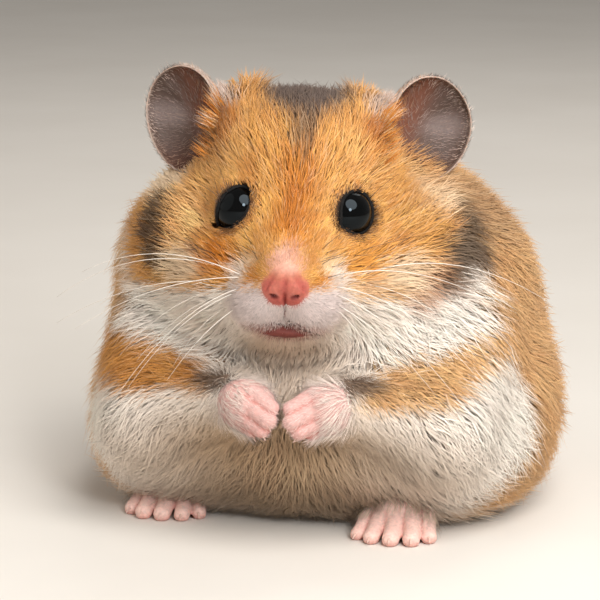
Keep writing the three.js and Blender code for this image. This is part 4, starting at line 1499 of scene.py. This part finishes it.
def grow_coat():
    """Scatters roots over the body's skin, grows a tuft from each, and makes the coat's pieces."""
    place, normal = scattered(body[0], split_faces(body[1], body[2]), tufts_per_mm2)
    _, trunk, head, arm = coat_distance(place)
    on_head = ease(2.5, -2.5, head - trunk)
    count = len(place)
    m = mirrored(to_head(place))
    tuft = patch(m, *EAR_TUFT, 0.5) * on_head * np.where(place[:, 0] > 0, *EAR_TUFT_SHARES)
    clearing = patch(m, *EAR_CLEARING, 0.4) * on_head
    length, width = hair_size(place, coat_depth(place, trunk, head, arm))
    length = length * rng.uniform(0.75, 1.15, count) * (1 + 0.75 * tuft) * (1 - 0.6 * clearing)
    length = np.minimum(length, np.maximum(place[:, 2] / 0.8, 2.2))
    reach = rng.uniform(0.62, 1.12, count) + np.where(rng.uniform(0, 1, count) < 0.05, 0.3, 0) + 1.3 * tuft
    stray = rng.normal(0, 0.2, (count, 3)) + 0.22 * wander(place, 7.0) + 0.24 * wander(place, 2.3)
    width = width * rng.uniform(0.75, 1.25, count)
    pieces = [(name, from_head(np.array(middle, float)), slot, HEAD_HUB, True)
              for name, middle, slot in HEAD_PIECES]
    pieces += [(name, np.array(middle, float), slot, BODY_HUB, False) for name, middle, slot in BODY_PIECES]
    owner = owners(place, on_head, pieces)
    for number, (name, _, slot, hub, _) in enumerate(pieces):
        own = owner == number
        stations, normals = grow(place[own], normal[own], length[own], reach[own], stray[own])
        colours = hair_colours(place[own], stations)
        make_coat(f"coat_{name}", stations, normals, width[own], colours, slot, hub)


grow_coat()


# ---- down on the ears, hands and feet ----


def down(place, normal, way, length, lift):
    """Stations of short tufts, (station, tuft, 3): straight along their way, laid flat, and rising from the
    skin by lift parts of their length at the tip. Returns them with the normals there."""
    way = laid_flat(way, normal)
    stations = [place - 0.12 * normal]
    for share in (0.5, 1.0):
        rise = (lift * share ** 1.5 * length)[:, None] * normal
        stations.append(place + (share * length)[:, None] * way + rise)
    stations = np.stack(stations)
    stations[..., 2] = np.maximum(stations[..., 2], COAT_FLOOR)
    return stations, np.stack([normal] * 3)


def ear_down(side):
    """Down of one ear: sparse and pale inside, longer towards the head, and dense and grey on the back."""
    points, quads, fans, _ = ears[side]
    place, normal = scattered(points, split_faces(quads, fans), lambda p: np.full(len(p), 8.0))
    middle, axes = ear_place(side)
    local, turned = (to_head(place) - middle) @ axes, normal @ HEAD_TURN @ axes
    inside = (turned * local / EAR_RADII ** 2).sum(-1) < 0
    edge = ease(2.2, 0.3, local[:, 1])
    medial = ease(1, -5, local[:, 0] * side)
    kept = rng.uniform(0, 1, len(place)) < np.where(inside, 0.45 + 0.3 * edge, 1)
    out = np.where(inside, local[:, 0], 0.6 * local[:, 0])
    way = np.stack([out, np.where(inside, -2.0, -3.0), 0.5 * local[:, 2] + np.where(inside, 1.5, 7.0)], -1)
    way = from_head(way @ axes.T) - from_head(np.zeros(3)) + rng.normal(0, 1.2, way.shape)
    length = rng.uniform(0.9, 1.8, len(place)) * np.where(inside, 1.0 - 0.3 * edge + 0.7 * medial, 0.9)
    lift = np.where(inside, 0.25, 0.15)
    colour = np.where(inside[:, None], tone(150, 130, 122), tone(198, 180, 168))
    colour = painted(colour, tone(206, 184, 170), inside * ease(2.0, 0.6, local[:, 1]))
    # Painted shade on the down low in the cup; towards the head it is warm brown.
    low = ease(1, -7, local[:, 2]) * inside
    colour = painted(colour, tone(120, 84, 62), 0.8 * np.maximum(low, 0.7 * medial * inside))
    colour = painted(colour, tone(222, 164, 108), 0.5 * medial * (rng.uniform(0, 1, len(place)) < 0.3))
    colour = colour * np.exp(0.3 * lock_shade(place, 1.8, 0))
    return [v[kept] for v in (place, normal, way, length, lift, colour)]


def hand_down():
    """Fine pale hairs on the backs of the hands, longer and denser towards the wrists and the little fingers,
    lying towards the fingertips."""
    place, normal = scattered(hands[0], split_faces(hands[1], hands[2]), lambda p: np.full(len(p), 7.5))
    q = mirrored(place, HANDS_MIDDLE)
    side = np.sign(place[:, 0] - HANDS_MIDDLE)
    wrist = ease(3.0, 7.5, lengths(q - np.array([2.0, -43.0, 23.6])))
    kept = rng.uniform(0, 1, len(place)) < mix(0.65, 1.0, wrist)
    way = np.stack([-0.75 * side, -0.3 + 0 * side, -0.55 + 0 * side], -1) + rng.normal(0, 0.12, place.shape)
    length = mix(1.0, 3.6, wrist ** 1.5) * rng.uniform(0.7, 1.2, len(place))
    lift = mix(0.14, 0.3, wrist) * rng.uniform(0.5, 1.4, len(place))
    way = way + 0.4 * wander(place, 2.5)
    colour = mix(tone(238, 206, 198), tone(244, 226, 214), wrist[:, None])
    return [v[kept] for v in (place, normal, way, length, lift, colour)]


def foot_down(side):
    """Fine pale hairs on the top of a foot, longer towards the leg, lying towards the toes."""
    points, quads, fans, _ = feet[side]
    place, normal = scattered(points, split_faces(quads, fans), lambda p: 6.0 * ease(1.0, 2.5, p[:, 2]))
    q = on_foot(place, side)
    leg = ease(-0.5, 4.5, q[:, 1])
    kept = (rng.uniform(0, 1, len(place)) < mix(0.2, 1.0, leg)) & (normal[:, 2] > -0.2)
    way = np.stack([0.06 * q[:, 0] * side, -1 + 0 * leg, -0.4 + 0 * leg], -1)
    way = way + rng.normal(0, 0.15, place.shape)
    length = mix(0.7, 4.2, leg) * rng.uniform(0.7, 1.2, len(place))
    # Towards the leg, the belly's beige with painted shade under the body.
    colour = mix(tone(236, 206, 192), SHADED_BEIGE * 0.9, leg[:, None])
    return [v[kept] for v in (place, normal, way, length, np.full(len(place), 0.2), colour)]


def on_skin(q):
    """Places of the head's frame moved onto the skin, in the whole animal's frame."""
    p = from_head(np.asarray(q, float)).astype(np.float32)
    for _ in range(4):
        here, slope = distance_and_slope(skin_distance, p)
        p = p - (here / np.maximum(lengths(slope), 0.5))[:, None] * unit(slope)
    return p


# Longer hair at the left ear's root: (number, from, to, spread, way, shortest, longest, colours).
EAR_LOCKS = [
    (560, (12.8, -1.0, 16.4), (14.4, -6.0, 8.6), (0.7, 1.3, 0.7), (0.84, 0.0, 0.56), 2.8, 5.4,
     (tone(222, 144, 62), tone(208, 124, 46), tone(226, 164, 90), tone(216, 136, 60), tone(232, 188, 140))),
    (44, (13.2, -2.0, 15.8), (14.0, -4.5, 13.0), (0.5, 0.8, 0.6), (0.9, -0.1, 0.4), 3.6, 6.4,
     (tone(236, 212, 194), tone(230, 190, 160))),
    (420, (11.8, 0.0, 17.4), (12.8, 2.6, 17.4), (0.8, 1.3, 0.4), (0.78, 0.2, 0.56), 2.2, 3.8,
     (tone(206, 184, 170), tone(186, 160, 146), tone(218, 196, 182))),
]
LOCK_STRAY = 2.5                          # a root that lay further than this off the skin grows nothing


def ear_locks():
    """Longer hair at the roots of the ears: golden and pale ones that cross the front of the rim outwards,
    and pink-grey ones that lie up the back. Each grows straight from the skin and bends a little upwards."""
    stations, normals, widths, colours = [], [], [], []
    for side in (1, -1):
        for count, start, end, spread, aim, short, long, shades in EAR_LOCKS:
            root = mix(np.array(start), np.array(end), rng.uniform(0, 1, (count, 1)))
            root = root + rng.normal(0, 1, (count, 3)) * spread
            place = on_skin(root * (side, 1, 1))
            place = place[lengths(place - from_head(root * (side, 1, 1))) < LOCK_STRAY]
            count = len(place)
            _, slope = distance_and_slope(skin_distance, place)
            normal = unit(slope)
            astray = rng.normal(0, 0.18, (count, 3)) + 0.4 * wander(place, 1.8)
            way = unit((np.array(aim) + astray) * (side, 1, 1)) @ HEAD_TURN.T
            length = rng.uniform(short, long, (count, 1))
            bend = np.array([0, 0, 0.12]) * length
            stations.append(np.stack([place - ROOT_DEPTH * normal, place + 0.5 * length * way,
                                      place + length * way + bend]))
            normals.append(np.stack([laid_flat(normal, way)] * 3))
            widths.append(rng.uniform(0.09, 0.14, count))
            pick = rng.integers(0, len(shades), count)
            colours.append(shaded_stations(np.array(shades)[pick], np.ones((count, 1))))
    make_coat("coat_ear_locks", np.concatenate(stations, axis=1), np.concatenate(normals, axis=1),
              np.concatenate(widths), np.concatenate(colours, axis=1), "golden_fur", HEAD_HUB)


ear_locks()


def make_down(name, grown, thick, hub):
    """One piece of down from its (places, normals, ways, lengths, lifts, colours)."""
    place, normal, way, length, lift, colour = grown
    stations, normals = down(place, normal, way, length, lift)
    width = thick * rng.uniform(0.8, 1.2, len(place))
    make_coat(name, stations, normals, width, shaded_stations(colour, np.ones((len(place), 1))),
              "white_fur", hub)


for name, side in (("left", 1), ("right", -1)):
    ear_hub = from_head(on_side(side, EAR_PLACE + np.array([0, 9, 0])))
    make_down(f"down_ear_{name}", ear_down(side), 0.075, ear_hub)
    x, y = FOOT_PLACES[name]
    make_down(f"down_foot_{name}", foot_down(side), 0.085, np.array([x, y + 8, -6]))
make_down("down_hands", hand_down(), 0.075, np.array([HANDS_MIDDLE, -30, 23.0]))


# ---- whiskers and claws ----


def tapered_tubes(paths, thick, thin, sides):
    """Round tubes along paths (tube, station, 3), each thinning evenly from its own thick radius to thin,
    closed at both ends. Returns (points, quads, triangles)."""
    count, rows = paths.shape[:2]
    way = unit(np.gradient(paths, axis=1))
    level = unit(np.cross(way, np.array([0.13, 0.21, 1.0])))
    other = np.cross(way, level)
    radius = mix(thick[:, None], thin, np.linspace(0, 1, rows)[None, :])
    around = np.linspace(0, 2 * math.pi, sides, endpoint=False)
    rings = paths[:, :, None] + radius[..., None, None] * (
        np.cos(around)[:, None] * level[:, :, None] + np.sin(around)[:, None] * other[:, :, None])
    parts = [closed_tube(rings[number], outward=False) for number in range(count)]
    return joined_meshes([(*part, np.zeros((len(part[0]), 3))) for part in parts])[:3]


WHISKER_ROWS, WHISKER_COLUMNS = 5, 2


def long_whiskers():
    """Rows of whiskers on both pads: each leaves the pad outwards, those of the upper rows upwards and those
    of the lower rows downwards, and sinks by the square of the way along it."""
    paths, thick = [], []
    along = np.linspace(0, 1, 14)[:, None]
    for side in (1, -1):
        row, column = (grid.ravel() for grid in np.meshgrid(
            np.linspace(0, 1, WHISKER_ROWS), np.linspace(0, 1, WHISKER_COLUMNS), indexing="ij"))
        low = -6.2 - 5.4 * row - 0.8 * column
        root = np.stack([side * (7.0 + 2.6 * column), -23.3 + 3.2 * column, low], -1)
        root = on_skin(root + rng.normal(0, 0.3, root.shape))
        length = (27 - 14 * row + 5 * column) * rng.uniform(0.75, 1.15, len(row))
        way = np.stack([side * np.ones_like(row), 0.02 + 0.4 * column, 0.24 - 0.95 * row], -1)
        way = unit(way + rng.normal(0, 0.07, way.shape)) @ HEAD_TURN.T
        sink = np.stack([0 * row, 0.10 + 0 * row, -0.46 * rng.uniform(0.6, 1.3, len(row))], -1)
        path = root[:, None] + length[:, None, None] * (along * way[:, None] + along ** 2 * sink[:, None])
        path = path - 0.3 * way[:, None] * (along == 0)
        paths.append(path)
        thick.append(0.05 + 0.001 * length)
    return np.concatenate(paths), np.concatenate(thick)


# Groups of dark hairs, for the left side of the head: (middle, spread, way, length, number).
DARK_WHISKERS = [((6.8, -22.4, -4.1), 1.0, (0.85, 0.2, 0.62), 4.6, 8),       # on top of the pad
                 ((9.0, -20.5, -4.6), 0.8, (1.0, 0.3, 0.3), 12.0, 5),        # behind it
                 ((9.4, -20.3, -5.0), 0.5, (1.0, 0.25, 0.22), 22.0, 2),      # the longest, behind it
                 ((11.5, -17.0, 5.5), 0.8, (0.6, -0.1, 0.9), 6.0, 3),        # over the eye
                 ((14.5, -16.0, -3.5), 1.0, (1.0, 0.1, 0.15), 8.0, 3)]       # behind and under the eye
DARK_HAIR, LASH_HAIR = 0.048, 0.06        # radii at the root
LASHES = 110                              # round each eye


def dark_whiskers():
    """Dark hairs that stand on the pads and round the eyes, each bowed a little out, back and down."""
    paths, thick = [], []
    along = np.linspace(0, 1, 7)[:, None]
    for side in (1, -1):
        for middle, spread, way, length, count in DARK_WHISKERS:
            root = on_skin(on_side(side, middle) + rng.normal(0, spread, (count, 3)))
            aim = unit(on_side(side, way) + rng.normal(0, 0.22, (count, 3))) @ HEAD_TURN.T
            size = length * rng.uniform(0.6, 1.2, count)
            bow = np.array([0.12 * side, 0.3, -0.12])
            paths.append(root[:, None] + size[:, None, None] * (along * aim[:, None] + along ** 2 * bow))
            thick.append(np.full(count, DARK_HAIR))
    return np.concatenate(paths), np.concatenate(thick)


def lashes():
    """Short dark hairs all round the lids, longest above and outwards."""
    paths, thick = [], []
    along = np.linspace(0, 1, 4)[:, None]
    for side in (1, -1):
        axis, level, up = eye_frame(side)
        around = np.linspace(0, 2 * math.pi, LASHES, endpoint=False) + rng.normal(0, 0.03, LASHES)
        out = np.cos(around)[:, None] * level + np.sin(around)[:, None] * up
        above = ease(-0.2, 0.7, np.sin(around))
        opening = lid_opening(side, around) + 0.3
        root = on_side(side, EYE_PLACE) + opening[:, None] * out
        root = root + np.sqrt(np.maximum(EYE_RADIUS ** 2 - opening ** 2, 0.2))[:, None] * axis
        aim = unit(out + 0.5 * axis + rng.normal(0, 0.22, out.shape))
        outer = ease(-0.6, 0.3, side * np.cos(around))
        size = mix(0.45, 1.3, above * outer) * mix(0.6, 1, outer) * rng.uniform(0.7, 1.2, LASHES)
        path = root[:, None] + size[:, None, None] * (along * aim[:, None] + 0.2 * along ** 2 * (up - axis))
        paths.append(from_head(path))
        thick.append(np.full(LASHES, LASH_HAIR))
    return np.concatenate(paths), np.concatenate(thick)


CLAW_LENGTH = 1.35
TOE_CLAW, FINGER_CLAW = 0.3, 0.22         # radii at the root


def toe_claws():
    """A small curved claw on the tip of every toe and finger, sunk a little into it."""
    paths, thick = [], []
    along = np.linspace(0, 1, 7)[:, None]
    for side in (1, -1):
        x, y = FOOT_PLACES["left" if side > 0 else "right"]
        for tip, radius in TOES:
            start = np.array([x + side * tip[0], y + tip[1] - 0.6 * radius,
                              tip[2] - SOLE_SINK + 0.3 * radius])
            way = unit(np.array([side * tip[0] * 0.06, -1.0, 0.05]))
            paths.append(start + CLAW_LENGTH * along * way + 0.7 * along ** 2 * np.array([0, 0, -1.0]))
            thick.append(TOE_CLAW)
        for _, tip, _, radius in FINGERS:
            start = np.array([HANDS_MIDDLE + side * tip[0], tip[1] - 0.35 * radius, tip[2] - 0.2 * radius])
            way = unit(np.array([-side * 0.55, -0.5, -0.75]))
            paths.append(start + CLAW_LENGTH * along * way + 0.3 * along ** 2 * np.array([0, 0.6, -1.0]))
            thick.append(FINGER_CLAW)
    return np.stack(paths), np.array(thick)


whisker_material = horn_finish("whisker_white", tone(226, 214, 200), tone(250, 244, 236), (0.3, 0.5), 4.0)
dark_hair_material = horn_finish("whisker_dark", tone(62, 40, 26), tone(96, 66, 44), (0.35, 0.55), 2.0)
claw_material = horn_finish("claw_horn", tone(214, 172, 158), tone(232, 200, 186), (0.28, 0.45), 0.8)
HAIR_TIP, CLAW_TIP = 0.02, 0.05           # radii at the tip
for name, grown, tip, sides, material, slot in (
        ("whiskers_long", long_whiskers, HAIR_TIP, 5, whisker_material, "white_fur"),
        ("whiskers_dark", dark_whiskers, HAIR_TIP, 5, dark_hair_material, "golden_fur"),
        ("lashes", lashes, HAIR_TIP, 5, dark_hair_material, "golden_fur"),
        ("claws", toe_claws, CLAW_TIP, 8, claw_material, "claw")):
    make_piece(name, *tapered_tubes(*grown(), tip, sides), material, slot)


# ---- floor, light and camera ----

CAMERA_AZIMUTH = CAMERA_ELEVATION = math.radians(12)
CAMERA_DISTANCE = 450.0
MM_PER_PIXEL = 0.17                       # at the origin's distance, in a frame of 600 x 600 pixels
FRAME_PIXELS = 600
ORIGIN_PIXEL = (328, 484)                 # where the floor under the middle of the body shows
SENSOR = 36.0
FLOOR_REACH = 3.0                         # half the floor's width, in metres
LAMP_AIM = (0, 0, 35)
# Round lamps: (name, azimuth and elevation in degrees, distance, width, power, colour).
LAMPS = [("key_softbox", 41, 48, 520, 430, 2.9, (1.0, 0.98, 0.95)),
         ("window_softbox", 29, 26, 520, 105, 0.8, (0.96, 0.98, 1.0)),
         ("fill_softbox", -62, 28, 600, 800, 0.8, (1.0, 0.92, 0.82)),
         ("back_softbox", 170, 50, 600, 420, 0.9, (1.0, 0.97, 0.93))]

CAMERA_BACK = np.array([math.sin(CAMERA_AZIMUTH) * math.cos(CAMERA_ELEVATION),
                        -math.cos(CAMERA_AZIMUTH) * math.cos(CAMERA_ELEVATION), math.sin(CAMERA_ELEVATION)])
CAMERA_RIGHT = np.array([math.cos(CAMERA_AZIMUTH), math.sin(CAMERA_AZIMUTH), 0.0])
CAMERA_UP = np.cross(CAMERA_BACK, CAMERA_RIGHT)


def aimed(obj, place, back, right, up):
    """Puts a camera or lamp at a place in millimetres, with its own axes along right, up and back."""
    matrix = np.eye(4)
    matrix[:3, 0], matrix[:3, 1], matrix[:3, 2] = right, up, back
    matrix[:3, 3] = (place + DRAWN_TO_ROW) * MM
    obj.matrix_world = Matrix(matrix.tolist())
    bpy.context.collection.objects.link(obj)


def add_camera():
    """A long lens on the animal's left front, a little above it."""
    camera = bpy.data.cameras.new("camera")
    camera.sensor_width = SENSOR
    camera.lens = SENSOR * CAMERA_DISTANCE / (MM_PER_PIXEL * FRAME_PIXELS)
    camera.clip_start = 0.01
    aim = CAMERA_RIGHT * (FRAME_PIXELS / 2 - ORIGIN_PIXEL[0]) * MM_PER_PIXEL
    aim = aim + CAMERA_UP * (ORIGIN_PIXEL[1] - FRAME_PIXELS / 2) * MM_PER_PIXEL
    obj = bpy.data.objects.new("camera", camera)
    aimed(obj, aim + CAMERA_BACK * CAMERA_DISTANCE, CAMERA_BACK, CAMERA_RIGHT, CAMERA_UP)
    bpy.context.scene.camera = obj


def softbox(name, azimuth, elevation, distance, size, power, colour):
    """A round lamp that looks at the middle of the body."""
    a, e = math.radians(azimuth), math.radians(elevation)
    back = np.array([math.sin(a) * math.cos(e), -math.cos(a) * math.cos(e), math.sin(e)])
    right = unit(np.cross([0, 0, 1], back))
    lamp = bpy.data.lights.new(name, "AREA")
    lamp.shape = "DISK"
    lamp.size = size * MM
    lamp.energy = power
    lamp.color = colour
    obj = bpy.data.objects.new(name, lamp)
    aimed(obj, back * distance + LAMP_AIM, back, right, np.cross(back, right))


def add_floor():
    """A wide plain floor with a barely visible mottle."""
    mesh = bpy.data.meshes.new("floor")
    corners = [(x * FLOOR_REACH, y * FLOOR_REACH, 0) for x, y in ((-1, -1), (1, -1), (1, 1), (-1, 1))]
    mesh.from_pydata(corners, [], [(0, 1, 2, 3)])
    material, nodes, links, principled = shader("pale_floor", Specular_IOR_Level=0.2)
    ramp = nodes.new("ShaderNodeValToRGB")
    ramp.color_ramp.elements[0].color = (*tone(222, 216, 208), 1)
    ramp.color_ramp.elements[1].color = (*tone(232, 227, 220), 1)
    links.new(speckle(nodes, links, 60), ramp.inputs["Fac"])
    links.new(ramp.outputs["Color"], principled.inputs["Base Color"])
    links.new(ranged(nodes, links, speckle(nodes, links, 8), 0.7, 0.85), principled.inputs["Roughness"])
    mesh.materials.append(material)
    obj = bpy.data.objects.new("floor", mesh)
    bpy.context.collection.objects.link(obj)


def add_sky():
    """Even pale light from all round."""
    world = bpy.data.worlds.new("studio")
    world.use_nodes = True
    background = world.node_tree.nodes["Background"]
    background.inputs["Color"].default_value = (1.0, 0.965, 0.92, 1)
    background.inputs["Strength"].default_value = 0.3
    bpy.context.scene.world = world


add_floor()
add_sky()
for lamp in LAMPS:
    softbox(*lamp)
add_camera()
bpy.context.scene.view_settings.view_transform = "Standard"
